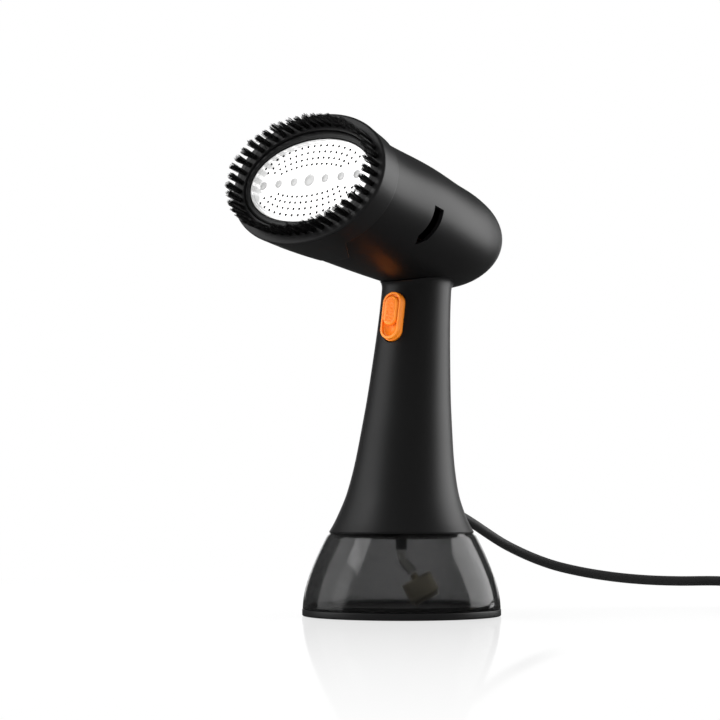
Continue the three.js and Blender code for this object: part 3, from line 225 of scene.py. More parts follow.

# %% [markdown]
# ## The other finishes
# The steam plate has a smooth white non-stick coating; painted shade darkens the walls of its
# fine holes and greys its dished outlets. Nylon bristles are dull black. Cord and seals are rubber,
# duller and softer in their highlights. The tank is a smoked clear moulding: its dye absorbs light
# all along a ray's way through the wall, so the bell is black where it is seen edge-on and grey in its
# middle.

# %% Steam plate's coating
FACE_CENTRE = np.array([0, -86.6, 236.9])
FACE_LEAN = math.radians(13.5)
FACE_OUT = np.array([0, -math.cos(FACE_LEAN), math.sin(FACE_LEAN)])
FACE_UP = np.array([0, math.sin(FACE_LEAN), math.cos(FACE_LEAN)])
FACE_LEVEL = float(FACE_CENTRE @ FACE_OUT) * MM
FACE_MIDDLE = float(FACE_CENTRE @ FACE_UP) * MM
PLATE_RECESS = 2.4                 # from the rim back to the plate
FIELD_DEPTH = 0.12                 # from the plate's edge down to its field
OUTLET_BAND = 3.4                  # half height of the band of outlets, which has no fine holes


def bright_plate(name, colour, dark):
    """A bright smooth face, with painted shade down the walls of the fine holes and in the dished outlets.
    """
    finish = Finish(name)
    cloud = finish.noise(60, 4)
    where = finish.place()
    depth = FACE_LEVEL - finish.dot(where, FACE_OUT)
    above_middle = finish.dot(where, FACE_UP) - FACE_MIDDLE
    in_row = above_middle.math("ABSOLUTE", above_middle).steps(OUTLET_BAND * MM, (OUTLET_BAND + 0.2) * MM)
    below_field = (PLATE_RECESS + FIELD_DEPTH + 0.02) * MM
    # Painted shade: the walls of the fine holes turn dark a little below the field, where light hardly
    # reaches.
    painted_hole_shade = depth.steps(below_field, below_field + 0.06 * MM) * in_row
    finish.set("Metallic", 0.3 * (1 - depth.steps(below_field, below_field + 0.36 * MM)))
    # Painted shade: the dished outlets turn grey with depth, as shade in a recess would make them.
    dished = depth.steps(below_field, below_field + 0.46 * MM)
    surface = finish.mix(dished, (*colour, 1), (*shade(colour, 0.52), 1))
    finish.set("Base Color", finish.mix(painted_hole_shade, surface, (*dark, 1)))
    finish.set("Roughness", 0.1 + 0.05 * cloud + 0.5 * painted_hole_shade)


# The last colour is the painted shade inside the fine holes.
bright_plate("white_steam_plate", (0.96, 0.96, 0.955), (0.05, 0.05, 0.05))
print("plate", PLATE_RECESS, "mm behind a rim that leans", round(math.degrees(FACE_LEAN), 1), "degrees")

# %% Nylon, rubber and clear mouldings
def nylon(name, colour):
    finish = Finish(name)
    along = finish.noise(700, 2, stretch=(1, 1, 0.3))
    finish.set("Base Color", finish.between(along, shade(colour, 0.6), shade(colour, 1.6)))
    finish.set("Roughness", 0.45 + 0.2 * along)


def rubber(name, colour, roughness):
    finish = Finish(name, Sheen_Weight=0.05)
    fine = finish.noise(1800, 2)
    cloud = finish.noise(30, 3)
    finish.set("Base Color", finish.between(cloud, shade(colour, 0.85), shade(colour, 1.2)))
    finish.set("Roughness", roughness - 0.05 + 0.1 * fine)
    finish.bump(fine, 0.02 * MM)


def clear(name, tint, roughness, ior, density=0.0):
    finish = Finish(name, Transmission_Weight=1.0, IOR=ior)
    cloud = finish.noise(12, 2)
    finish.set("Base Color", finish.between(cloud, shade(tint, 0.97), shade(tint, 1.03)))
    finish.set("Roughness", roughness + 0.01 * cloud)
    if density:
        dye = finish.add("VolumeAbsorption", {}, {"Color": (0, 0, 0, 1), "Density": density})
        finish.feed(finish.tree.nodes["Material Output"].inputs["Volume"], dye)


nylon("bristle_nylon", (0.004, 0.004, 0.0042))
rubber("black_rubber", (0.014, 0.014, 0.0145), 0.55)
clear("smoked_clear_plastic", (0.96, 0.96, 0.965), 0.1, 1.44, density=620.0)
clear("clear_silicone", (0.8, 0.79, 0.76), 0.2, 1.41)
slot_of = {row["node"]: row["material_slot"] for row in frame["record"]["subparts"]}
for name, node in frame["nodes"].items():
    node.data.materials.clear()
    node.data.materials.append(finishes[slot_of[name]])
print("finishes:", len(finishes), "for", len(slot_of), "nodes")

# %% [markdown]
# ## From points to a piece
# Nearly every moulding here is a skin over rings of points: ovals for the head, circles
# for the handle and the tank. `skin` joins rings into quads. A shell's rings run down its
# outside and back up its inside, so the skin closes on itself and has a real wall.
# `piece` makes the object, puts it on its body and takes the CAD node's place.

# %% Pieces on their bodies
BODIES = {node: body for body, nodes in frame["record"]["behaviour"]["bodies"].items() for node in nodes}
SHARP_ANGLE = 32                   # degrees; a sharper edge stays crisp


def clean_mesh(name, points, faces):
    """A mesh from points in millimetres, with doubles merged and every face turned outwards."""
    mesh = bpy.data.meshes.new(name)
    mesh.from_pydata((np.asarray(points, float) * MM).tolist(), [], faces)
    work = bmesh.new()
    work.from_mesh(mesh)
    bmesh.ops.remove_doubles(work, verts=work.verts, dist=0.002 * MM)
    bmesh.ops.dissolve_degenerate(work, edges=work.edges, dist=0.001 * MM)
    bmesh.ops.recalc_face_normals(work, faces=work.faces)
    work.to_mesh(mesh)
    work.free()
    return mesh


def piece(name, points, faces, node, *also, sharp=SHARP_ANGLE):
    """An object that stands for a CAD node, rides on its body and has its finish."""
    mesh = clean_mesh(name, points, faces)
    mesh.materials.append(finishes[slot_of[node]])
    mesh.shade_smooth()
    mesh.set_sharp_from_angle(angle=math.radians(sharp))
    obj = bpy.data.objects.new(name, mesh)
    scene.collection.objects.link(obj)
    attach(obj, BODIES[node])
    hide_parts(node, *also)
    print(obj.name, len(mesh.polygons), "faces")
    return obj


print("bodies:", sorted(set(BODIES.values())))

# %% Skins and cuts
def skin(rings, loop=False, caps=False):
    """Points and quads over rings of equal length; loop joins the last ring to the first."""
    rings = np.asarray(rings, float)
    rows, count = rings.shape[:2]
    points = rings.reshape(-1, 3).tolist()
    faces = []
    for row in range(rows if loop else rows - 1):
        low, high = row * count, ((row + 1) % rows) * count
        for i in range(count):
            j = (i + 1) % count
            faces.append((low + i, low + j, high + j, high + i))
    if caps:
        for start in (0, (rows - 1) * count):
            points.append(np.mean(points[start:start + count], axis=0).tolist())
            hub = len(points) - 1
            faces += [(start + i, start + (i + 1) % count, hub) for i in range(count)]
    return points, faces


def together(*parts):
    """Several (points, faces) as one."""
    points, faces = [], []
    for more_points, more_faces in parts:
        base = len(points)
        points += [list(map(float, p)) for p in more_points]
        faces += [tuple(base + i for i in face) for face in more_faces]
    return points, faces


def revolved(profile, sides):
    """Rings round +Z from (radius, height) points; a radius of 0 closes the skin."""
    turn = np.linspace(0, 2 * math.pi, sides, endpoint=False)
    rings = [np.stack([r * np.cos(turn), r * np.sin(turn), np.full(sides, z)], 1) for r, z in profile]
    return skin(rings, loop=profile[0][0] > 0)


def circle(x, y, radius, sides):
    turn = np.linspace(0, 2 * math.pi, sides, endpoint=False)
    return [(x + radius * math.cos(t), y + radius * math.sin(t)) for t in turn]


def arc(centre, radius, start, end, steps=5):
    """Points on an arc in the profile's plane, angles in degrees from the radius direction."""
    turn = np.radians(np.linspace(start, end, steps))
    return [(centre[0] + radius * math.cos(t), centre[1] + radius * math.sin(t)) for t in turn]


def cut(obj, *cutters):
    """Take closed solids, as (points, faces), out of a piece."""
    for points, faces in cutters:
        cutter = bpy.data.objects.new("cutter", clean_mesh("cutter", points, faces))
        scene.collection.objects.link(cutter)
        modifier = obj.modifiers.new("cut", "BOOLEAN")
        modifier.operation = "DIFFERENCE"
        modifier.solver = "EXACT"
        modifier.object = cutter
        bpy.context.view_layer.update()
        result = obj.evaluated_get(bpy.context.evaluated_depsgraph_get())
        obj.data = bpy.data.meshes.new_from_object(result)
        obj.modifiers.clear()
        bpy.data.objects.remove(cutter)
    obj.data.set_sharp_from_angle(angle=math.radians(SHARP_ANGLE))
    print(obj.name, "cut", len(cutters), "times:", len(obj.data.polygons), "faces")


pipe = revolved([(1, 0), (1, 2), (0.8, 2), (0.8, 0)], 8)
print("a short pipe with eight sides takes", len(pipe[1]), "faces")

# %% [markdown]
# ## The barrel's form
# The head is an oval loft. Its sections start in the plane of the steam face, which leans
# back, follow a bending middle line and end in a dome. Sampling the middle line finely and
# easing the place where loft and dome meet gives a surface whose highlights run through.

# %% Barrel's middle line and sections
FACE_HALF = (51.7, 35.6)
BARREL_BEND = 38.0
BARREL_END = np.array([0, 21.5, 217.8])
END_HALF = (39.5, 31.6)
DOME = 59.0
HEAD_WALL = 2.6
FIT = 0.3                          # clearance of parts that stay together
SLIDE_FIT = 0.4                    # clearance of parts that slide
EASE, EASE_STEP = 8.0, 0.25        # width of the easing where loft and dome meet, and its sampling
EASE_REACH, EASE_FADE = 34.0, 16.0  # nothing is eased beyond the reach, and less within the fade
SWELL, SWELL_START, SWELL_END = 2.9, 20.0, 145.0


def swell_at(station):
    """How much the top and the flanks swell; the underside stays straight."""
    u = np.clip((station - SWELL_START) / (SWELL_END - SWELL_START), 0, 1)
    return SWELL * (4 * u * (1 - u)) ** 2


def barrel_table():
    """Station along the barrel against centre y, centre z, lean and half sizes."""
    share = np.linspace(0, 1, 600)[:, None]
    bend = FACE_CENTRE - BARREL_BEND * FACE_OUT
    middle = (1 - share) ** 2 * FACE_CENTRE + 2 * share * (1 - share) * bend + share ** 2 * BARREL_END
    share = share[:, 0]
    step = np.linalg.norm(np.diff(middle, axis=0), axis=1)
    loft = np.concatenate([[0], np.cumsum(step)])
    turn = np.linspace(0, math.pi / 2, 400)[1:]
    station = np.concatenate([loft, loft[-1] + DOME * np.sin(turn)])
    columns = [
        np.concatenate([middle[:, 1], BARREL_END[1] + DOME * np.sin(turn)]),
        np.concatenate([middle[:, 2], np.full(turn.size, BARREL_END[2])]),
        np.concatenate([FACE_LEAN * (1 - share), np.zeros(turn.size)]),
    ]
    for face, end in zip(FACE_HALF, END_HALF):
        columns.append(np.concatenate([face + (end - face) * share, end * np.cos(turn)]))
    swell = swell_at(station)
    columns[0] = columns[0] + swell / 2 * np.sin(columns[2])
    columns[1] = columns[1] + swell / 2 * np.cos(columns[2])
    columns[3] = columns[3] + swell
    columns[4] = columns[4] + swell / 2
    even = np.arange(loft[-1] - 60, loft[-1] + 50, EASE_STEP)
    kernel = np.exp(-0.5 * (np.arange(-4 * EASE, 4 * EASE + 0.1, EASE_STEP) / EASE) ** 2)
    near = np.clip((EASE_REACH - np.abs(even - loft[-1])) / EASE_FADE, 0, 1)
    near = near * near * (3 - 2 * near)
    for i in (1, 3, 4):
        raw = np.interp(even, station, columns[i])
        padded = np.pad(raw, kernel.size // 2, mode="reflect", reflect_type="odd")
        eased = np.convolve(padded, kernel / kernel.sum(), mode="valid")
        columns[i] = columns[i] + np.interp(station, even, (eased - raw) * near, 0, 0)
    return loft[-1], station, columns


LOFT, STATIONS, COLUMNS = barrel_table()
print("barrel: loft", round(LOFT, 1), "mm, dome", DOME, "mm")

# %% Points on the barrel
def barrel_at(station):
    return [np.interp(station, STATIONS, column) for column in COLUMNS]


def barrel_point(turn, station, grow=(0.0, 0.0)):
    """Points of the barrel's surface at an angle round its section, grown by (width, height)."""
    y, z, lean, half_width, half_height = barrel_at(station)
    x = (half_width + grow[0]) * np.cos(turn)
    up = (half_height + grow[1]) * np.sin(turn)
    return np.stack([x, y + up * np.sin(lean), z + up * np.cos(lean)], -1)


def behind_face(points):
    return (FACE_CENTRE - points) @ FACE_OUT


def halve(low, high, beyond):
    """The values between low and high at which beyond() turns true, by halving the range."""
    for _ in range(32):
        middle = (low + high) / 2
        far = beyond(middle)
        low, high = np.where(far, low, middle), np.where(far, middle, high)
    return (low + high) / 2


def station_behind(turn, depth, grow):
    """The station at which the surface lies a depth behind the plane of the face."""
    return halve(np.zeros_like(turn), np.full_like(turn, LOFT),
                 lambda station: behind_face(barrel_point(turn, station, grow)) > depth)


def barrel_level(points, grow):
    """Below 0 inside the barrel, above 0 outside."""
    def beyond(station):
        y, z, lean, _, _ = barrel_at(station)
        return (points[:, 1] - y) * np.cos(lean) - (points[:, 2] - z) * np.sin(lean) <= 0

    station = halve(np.zeros(len(points)), np.full(len(points), LOFT + DOME), beyond)
    y, z, lean, half_width, half_height = barrel_at(station)
    across = (points[:, 1] - y) * np.sin(lean) + (points[:, 2] - z) * np.cos(lean)
    return np.hypot(points[:, 0] / (half_width + grow), across / (half_height + grow)) - 1


print("the barrel's top at half its loft:", barrel_point(np.array([math.pi / 2]), LOFT / 2).round(1))

# %% [markdown]
# ## The head's shell
# The shell starts behind the bristle ring and ends in the dome. Its front edge lies in a
# plane, so each line along the barrel starts at its own station. A narrow band-shaped slot
# goes through each flank: it follows the flank's curve, square at its top and pointed at its
# foot, and a Boolean cut gives it the wall's real thickness.

# %% Column's middle line and shell rings
RING_DEPTH = 16.0
RING_GAP = 0.15
SEAM = 46.5                        # height of the joint of tank and handle
LEAN_START, LEAN_SLOPE, LEAN_EASE = SEAM + 3.5, 0.125, 15.0
around = np.linspace(0, 2 * math.pi, 192, endpoint=False)


def column_lean(height):
    """How far back the column's middle line lies at a height."""
    over = np.maximum(np.asarray(height, float) - LEAN_START, 0)
    return LEAN_SLOPE * over ** 2 / (over + LEAN_EASE)


def shell_rings(grow, front, steps, dome_steps):
    """Rings of the shell's outside or inside, from its front edge to the dome's tip."""
    start = station_behind(around, front, (grow, grow))
    rings = []
    for share in np.linspace(0, 1, steps):
        rings.append(barrel_point(around, start + (LOFT - start) * share, (grow, grow)))
    for turn in np.linspace(0, math.pi / 2, dome_steps)[1:]:
        station = np.full_like(around, LOFT + DOME * math.sin(turn))
        ring = barrel_point(around, station, (grow * math.cos(turn), grow * math.cos(turn)))
        ring[:, 1] += grow * math.sin(turn)
        rings.append(ring)
    return rings


outside = shell_rings(0.0, RING_DEPTH + RING_GAP, 72, 40)
inside = shell_rings(-HEAD_WALL, RING_DEPTH + RING_GAP, 40, 24)
print("head shell from y", outside[0][:, 1].min().round(1), "to", outside[-1][0, 1].round(1), "mm")

# %% Cutters
SLOT = {"width": 9.0, "y": -27.9, "top": 224.0, "bottom": 203.8, "lean": 4.6}
SLOT_REACH = (26, 56)              # from inside the shell's wall to outside it
NECK_RADIUS = 14.6
NECK_BOTTOM, NECK_TOP = 183.6, 196.0


def bezier2(start, control, end, steps):
    share = np.linspace(0, 1, steps)[:, None]
    start, control, end = map(np.array, (start, control, end))
    return (1 - share) ** 2 * start + 2 * share * (1 - share) * control + share ** 2 * end


def prism(outline, low, high, place):
    """A closed solid over a flat outline, from low to high; place turns (x, y, z) into a point."""
    rings = [[place(x, y, z) for x, y in outline] for z in (low, high)]
    count = len(outline)
    points, faces = skin(rings)
    return points, faces + [tuple(range(count)), tuple(range(count, 2 * count))]


def slot_cutter(side):
    """The flank slot's form, on the right for a side of 1 and on the left for -1."""
    half, height, lean = SLOT["width"] / 2, SLOT["top"] - SLOT["bottom"], SLOT["lean"]
    front = bezier2((-half, height + 0.8), (-half - 0.4, height / 2), (-half - lean, height * 0.22), 9)
    back = bezier2((half - lean, height * 0.16), (half - 0.4, height / 2), (half, height - 0.8), 9)
    outline = [*front, (-lean - 1.4, 0), *back]
    return prism(outline, *SLOT_REACH, lambda x, z, out: (side * out, SLOT["y"] + x, SLOT["bottom"] + z))


def rod(radius, low, high, place, sides=64):
    return prism(circle(0, 0, radius, sides), low, high, place)


neck_y = float(column_lean(NECK_TOP))
neck_bore = rod(NECK_RADIUS + FIT, NECK_BOTTOM - 1, NECK_TOP + 3, lambda x, y, z: (x, y + neck_y, z))
head = piece("head_housing", *skin(outside + inside[::-1], loop=True), "head_shell")
cut(head, slot_cutter(1), slot_cutter(-1), neck_bore)

# %% [markdown]
# ## The handle
# A round column leans back and flares into a foot like a vase. Its radius comes from a few
# stations with a smooth curve through them. The top has to meet the head along a space
# curve: for each line up the column `halve` finds the height where it reaches the barrel,
# so the joint is a clean dark groove without any cut.

# %% Column's radius
STATION_RADII = [                  # height over the seam, radius
    (0, 41.2), (5, 38.3), (11.5, 35.4), (20, 32.3), (29.5, 30), (42, 27.85), (58, 25.9),
    (76, 23.95), (95, 22.4), (114, 21.05), (130, 20.25), (150, 19.85),
]
HANDLE_WALL = 2.5
SEAM_GAP = 0.4


def column_radius(height):
    """Cubic Hermite curve through the stations."""
    place = np.clip(np.asarray(height, float) - SEAM, 0, STATION_RADII[-1][0])
    at, value = np.array(STATION_RADII, float).T
    i = np.clip(np.searchsorted(at, place, side="left") - 1, 0, at.size - 2)
    before = np.maximum(np.arange(at.size) - 1, 0)
    after = np.minimum(np.arange(at.size) + 1, at.size - 1)
    slope = (value[after] - value[before]) / (at[after] - at[before])
    span = at[i + 1] - at[i]
    t = (place - at[i]) / span
    return ((2 * t ** 3 - 3 * t ** 2 + 1) * value[i] + (t ** 3 - 2 * t ** 2 + t) * slope[i] * span
            + (3 * t ** 2 - 2 * t ** 3) * value[i + 1] + (t ** 3 - t ** 2) * slope[i + 1] * span)


def column_point(turn, height, inset=0.0):
    radius = column_radius(height) - inset
    y = column_lean(height) + radius * np.sin(turn)
    return np.stack([radius * np.cos(turn), y, height + 0 * turn], -1)


def column_top(turn, inset, grow):
    """The height at which each line up the column reaches the barrel."""
    return halve(np.full_like(turn, 150.0), np.full_like(turn, 210.0),
                 lambda height: barrel_level(column_point(turn, height, inset), grow) <= 0)


print("column's radius at the seam and at the trigger:", column_radius((SEAM, 168)).round(1))

# %% Places on the handle
TRIGGER_HEIGHT = 168.6
TRIGGER_SIZE = (12.6, 27.4, 6.1)   # width, length, corner
TRIGGER_SLOPE = LEAN_SLOPE + 0.055  # it leans a little more than the column's middle line
RELIEF_ROOT = np.array([0, 27.6, SEAM + 24.5])
RELIEF_DROP = math.radians(26)
RELIEF_RADIUS = 4.7
CORNERS = ((1, 1), (-1, 1), (-1, -1), (1, -1))


def leaning(origin, lean):
    """A place that maps (x, up, out) of a front-facing, back-leaning frame to a point."""
    up = np.array([0, math.sin(lean), math.cos(lean)])
    out = np.array([0, -math.cos(lean), math.sin(lean)])
    return lambda x, y, z: np.array([x, 0, 0]) + origin + y * up + z * out


def rounded_rectangle(width, length, corner, steps=10, inset=0.0):
    """Its outline, drawn in by an inset that is smaller than the corner."""
    points = []
    for quarter, (sx, sy) in enumerate(CORNERS):
        for k in range(steps + 1):
            turn = (quarter + k / steps) * math.pi / 2
            points.append((sx * (width / 2 - corner) + (corner - inset) * math.cos(turn),
                           sy * (length / 2 - corner) + (corner - inset) * math.sin(turn)))
    return points


trigger_lean = math.atan(TRIGGER_SLOPE)
trigger_front = float(column_lean(TRIGGER_HEIGHT) - column_radius(TRIGGER_HEIGHT))
on_trigger = leaning(np.array([0, trigger_front, TRIGGER_HEIGHT]), trigger_lean)
relief_way = np.array([0, math.cos(RELIEF_DROP), -math.sin(RELIEF_DROP)])
relief_side = np.array([0, math.sin(RELIEF_DROP), math.cos(RELIEF_DROP)])


def on_relief(x, y, z):
    return RELIEF_ROOT + np.array([x, 0, 0]) + y * relief_side + z * relief_way


print("the trigger's window is centred on", on_trigger(0, 0, 0).round(1))

# %% Handle shell
EDGE = 0.5
FLARE, FLARE_HEIGHT = 1.9, 5.5     # a small concave flare where the column meets the head
FLARE_LIP = 0.3
WINDOW_DROP = 1.1                  # the trigger's window is longer at its foot, for the skirt
CUT_REACH = 12.0                   # how far a cutter goes through the handle's wall
bottom = SEAM + SEAM_GAP / 2
top = column_top(around, -FLARE, FIT)
rings = [column_point(around, np.full_like(around, bottom), inset) for inset in (HANDLE_WALL, EDGE * 0.7)]
foot_edge, flare_foot = bottom + EDGE * 0.6, top - FLARE_HEIGHT
for share in np.linspace(0, 1, 100):
    rings.append(column_point(around, foot_edge + (flare_foot - foot_edge) * share))
for share in np.linspace(0, 1, 16)[1:]:
    out = FLARE * (1 - math.sqrt(1 - share * share * 0.98))
    down = FLARE_LIP + (FLARE_HEIGHT - FLARE_LIP) * (1 - share)
    rings.append(column_point(around, top - down, -out))
rings.append(column_point(around, top, -FLARE * 0.75))
inner_top = column_top(around, HANDLE_WALL, FIT)
for share in np.linspace(1, 0, 40):
    rings.append(column_point(around, bottom + (inner_top - bottom) * share, HANDLE_WALL))
handle = piece("handle_housing", *skin(rings, loop=True), "handle_shell")
width, length, corner = TRIGGER_SIZE
window = rounded_rectangle(width + 2 * SLIDE_FIT, length + 2 * SLIDE_FIT + WINDOW_DROP, corner + SLIDE_FIT)
window = [(x, y - WINDOW_DROP / 2) for x, y in window]
relief_hole = rod(RELIEF_RADIUS + FIT, -3, CUT_REACH, on_relief)
cut(handle, prism(window, -CUT_REACH, CUT_REACH, on_trigger), relief_hole)

# %% [markdown]
# ## The bristle ring
# The ring clips over the nose. Its outside continues the barrel, a little proud at the top
# and bottom, and grows into two tapering tabs. Because a tab is only a place where the back
# edge reaches further, one skin can make both: for each line round the ring the back edge
# follows an outline with concave roots. The rim carries a groove for the tufts.

# %% Ring's outline
RING_FLUSH, RING_PROUD = 0.2, 1.8  # how far it stands over the barrel at the sides and at the top
MOUTH_HALF = (44.2, 27.9)
RING_SKIRT = 2.6
RIM_DEPTH = 6.0
RIM_ROUND = 1.3
TAB_REACH, TAB_ROOT, TAB_END = 34.0, 21.5, 10.5
TAB_WALL = 1.3
BACKING_WIDTH, BACKING_THICKNESS = 3.4, 1.2
ROW_INSET = 1.5                    # of the tuft row, in from the middle of the rim
ROW_HALF = ((FACE_HALF[0] + RING_FLUSH + MOUTH_HALF[0]) / 2 - ROW_INSET,
            (FACE_HALF[1] + RING_PROUD + MOUTH_HALF[1]) / 2 - ROW_INSET)
on_face = leaning(FACE_CENTRE, FACE_LEAN)


def face_oval(half_width, half_height, depth, turn):
    """A ring of the oval in the face's own frame, a depth behind the rim."""
    x, up = half_width * np.cos(turn), half_height * np.sin(turn)
    return FACE_CENTRE + np.outer(x, (1, 0, 0)) + np.outer(up, FACE_UP) - depth * FACE_OUT


def uneven_turns(count, crowd, low, high):
    """Angles round an oval, crowded where |x| on the face lies between low and high."""
    fine = np.linspace(0, 2 * math.pi, 7200)
    x = np.abs(FACE_HALF[0] * np.cos(fine))
    weight = 1 + crowd * ((x > low) & (x < high) & (np.abs(np.sin(fine)) > 0.5))
    total = np.concatenate([[0], np.cumsum(weight[1:])])
    return np.interp(np.linspace(0, total[-1], count, endpoint=False), total, fine)


def tab_outline(x):
    """How far back the ring reaches at a distance from the middle plane."""
    root, end = (TAB_ROOT, RING_DEPTH - 1.5), (TAB_END + 2.2, TAB_REACH - 4)
    slope = bezier2(root, (TAB_ROOT - 2.5, RING_DEPTH + 3), end, 24)
    line = [(TAB_END - 0.2, TAB_REACH), (TAB_END, TAB_REACH - 0.3), *slope[::-1], (60, RING_DEPTH - 1.5)]
    at, reach = np.array(line).T
    return np.maximum(np.interp(np.abs(x), at, reach), RING_DEPTH)


turns = uneven_turns(420, crowd=3, low=8, high=24)  # more lines where the edges of the tabs run
grow = (RING_FLUSH, RING_PROUD)
inner_grow = (RING_FLUSH - TAB_WALL, RING_PROUD - TAB_WALL)


def ring_surface(depth, offset):
    """A line round the ring at its own depth for each angle."""
    return barrel_point(turns, station_behind(turns, depth, offset), offset)


band_x = barrel_point(turns, station_behind(turns, np.full_like(turns, RING_DEPTH), grow), grow)[:, 0]
reach = np.where(np.abs(np.sin(turns)) > 0.5, tab_outline(band_x), RING_DEPTH) + 0.02
print("the ring reaches back", reach.min().round(1), "mm, and", reach.max().round(1), "mm at its tabs")

# %% Bristle ring's skin
BACK_ROUND = 0.45                  # rounding of the ring's back edge
rings = []
for share in np.linspace(1, 0, 26):
    rings.append(ring_surface(RIM_ROUND + (reach - BACK_ROUND - RIM_ROUND) * share, grow))
for angle in np.radians((22.5, 45, 67.5, 90)):
    shrink = RIM_ROUND * (1 - math.cos(angle))
    depth = np.full_like(turns, RIM_ROUND * (1 - math.sin(angle)))
    rings.append(ring_surface(depth, (grow[0] - shrink, grow[1] - shrink)))
half_groove = BACKING_WIDTH / 2 + 0.1
for side, depth in ((1, 0), (1, BACKING_THICKNESS + FIT), (-1, BACKING_THICKNESS + FIT), (-1, 0)):
    offset = side * half_groove
    rings.append(face_oval(ROW_HALF[0] + offset, ROW_HALF[1] + offset, depth, turns))
for offset, depth in ((0.25, 0), (0.07, 0.07), (0, 0.25), (0, RIM_DEPTH)):
    rings.append(face_oval(MOUTH_HALF[0] + offset, MOUTH_HALF[1] + offset, depth, turns))
bore = (FACE_HALF[0] + RING_FLUSH - RING_SKIRT - 0.9, FACE_HALF[1] - RING_SKIRT)
for depth in (RIM_DEPTH, RING_DEPTH):
    rings.append(face_oval(*bore, depth, turns))
for share in np.linspace(0, 1, 8):
    rings.append(ring_surface(RING_DEPTH + (reach - RING_DEPTH) * share, inner_grow))
rings.append(ring_surface(reach, (RING_FLUSH - 0.25, RING_PROUD - 0.35)))
rings.append(ring_surface(reach - 0.13, (RING_FLUSH - 0.06, RING_PROUD - 0.1)))
piece("bristle_ring", *skin(rings, loop=True), "brush_ring")

# %% [markdown]
# ## Nose frame
# Inside the ring an oval frame holds the plate. Only its rounded front lip shows, so the
# profile is short: the lip, the seat of the plate and the body that the ring slips over.

# %% Nose frame
PLATE_THICKNESS = 2.0
PLATE_HALF = (41.4, 23.8)
NOSE_LIP = 1.3
NOSE_DEPTH = 20.0
lip = (MOUTH_HALF[0] - SLIDE_FIT, MOUTH_HALF[1] - SLIDE_FIT)
seat = (PLATE_HALF[0] + FIT, PLATE_HALF[1] + FIT)
body = (FACE_HALF[0] - RING_SKIRT - SLIDE_FIT - 0.9, FACE_HALF[1] - RING_SKIRT - SLIDE_FIT - 0.4)
lip_depth = PLATE_RECESS - NOSE_LIP
profile = [                        # half width, half height, depth behind the rim
    (*body, RIM_DEPTH + SLIDE_FIT), (*lip, RIM_DEPTH + SLIDE_FIT), (*lip, lip_depth + 0.7),
    (lip[0] - 0.2, lip[1] - 0.2, lip_depth + 0.2), (lip[0] - 0.7, lip[1] - 0.7, lip_depth),
    (seat[0] + 0.7, seat[1] + 0.9, lip_depth), (seat[0] + 0.2, seat[1] + 0.3, lip_depth + 0.25),
    (*seat, lip_depth + 0.8), (*seat, NOSE_DEPTH), (body[0] - 1.6, body[1] - 1.2, NOSE_DEPTH),
    (*body, RING_DEPTH),
]
rings = [face_oval(half_width, half_height, depth, around) for half_width, half_height, depth in profile]
piece("nose_lip", *skin(rings, loop=True), "nose_frame")

# %% [markdown]
# ## Steam plate
# The white plate has seven shallow dished outlets and eight rows of fine holes on ovals that
# run parallel to its edge. A triangulation with the holes as constraints gives an exact flat
# face, and each hole gets its own wall. A thin groove runs just inside the rounded rim.

# %% Plate's holes
OUTLETS = [-32.1, -21.4, -10.7, 0, 10.7, 21.4, 32.1]
OUTLET_RADIUS, CENTRE_OUTLET_RADIUS = 2.5, 3.6
OUTLET_DISH = 0.9
DISH_EDGE, DISH_MIDDLE = 1.25, 0.12  # angles between which an arc gives the dish its form
FINE_HOLE = 0.8
HOLE_ROWS = [                      # in from the plate's edge, step, reach to each side
    (4.0, 4.3, 33.0), (7.6, 4.0, 30.8), (11.2, 3.75, 27.0), (14.7, 3.45, 21.0),
]
GROOVE = 2.6                       # in from the plate's edge


def oval_walk(half_width, half_height, step, reach_x):
    """Points a step apart on the top and bottom of an oval, centred, out to reach_x."""
    fine = np.linspace(0, math.pi, 2000)
    x, y = half_width * np.cos(fine), half_height * np.sin(fine)
    run = np.concatenate([[0], np.cumsum(np.hypot(np.diff(x), np.diff(y)))])
    run -= run[-1] / 2
    number = int(run[-1] / step)
    wanted = step * np.arange(-number, number + 1)
    px, py = np.interp(wanted, run, x), np.interp(wanted, run, y)
    keep = np.abs(px) <= reach_x
    return [(a, s * b) for s in (1, -1) for a, b in zip(px[keep], py[keep])]


fine_holes = []
for inset, step, reach_x in HOLE_ROWS:
    fine_holes += oval_walk(PLATE_HALF[0] - inset, PLATE_HALF[1] - inset, step, reach_x)
print("fine holes:", len(fine_holes))

# %% A flat face with holes
def holed_face(outline, holes):
    """Triangles inside an outline and outside the holes."""
    loops = [outline, *holes]
    points = [Vector(p) for loop in loops for p in loop]
    edges, start = [], 0
    for loop in loops:
        edges += [(start + i, start + (i + 1) % len(loop)) for i in range(len(loop))]
        start += len(loop)
    flat, _, triangles, _, _, _ = geometry.delaunay_2d_cdt(points, edges, [], 1, 1e-5)
    centres = [np.mean(hole, axis=0) for hole in holes]
    reach = [np.linalg.norm(np.array(hole[0]) - centre) * math.cos(math.pi / len(hole))
             for hole, centre in zip(holes, centres)]
    kept = []
    for triangle in triangles:
        middle = np.mean([flat[i] for i in triangle], axis=0)
        if all(np.linalg.norm(middle - c) > r for c, r in zip(centres, reach)):
            kept.append(tuple(triangle))
    return [tuple(p) for p in flat], kept


tried = holed_face(circle(0, 0, 3, 24), [circle(0, 0, 1, 12)])
print("a disc with one hole takes", len(tried[1]), "triangles")

# %% Steam plate
def face_ring(outline, depth):
    return [on_face(x, y, -depth) for x, y in outline]


def flat_oval(inset):
    return list(zip((PLATE_HALF[0] - inset) * np.cos(around), (PLATE_HALF[1] - inset) * np.sin(around)))


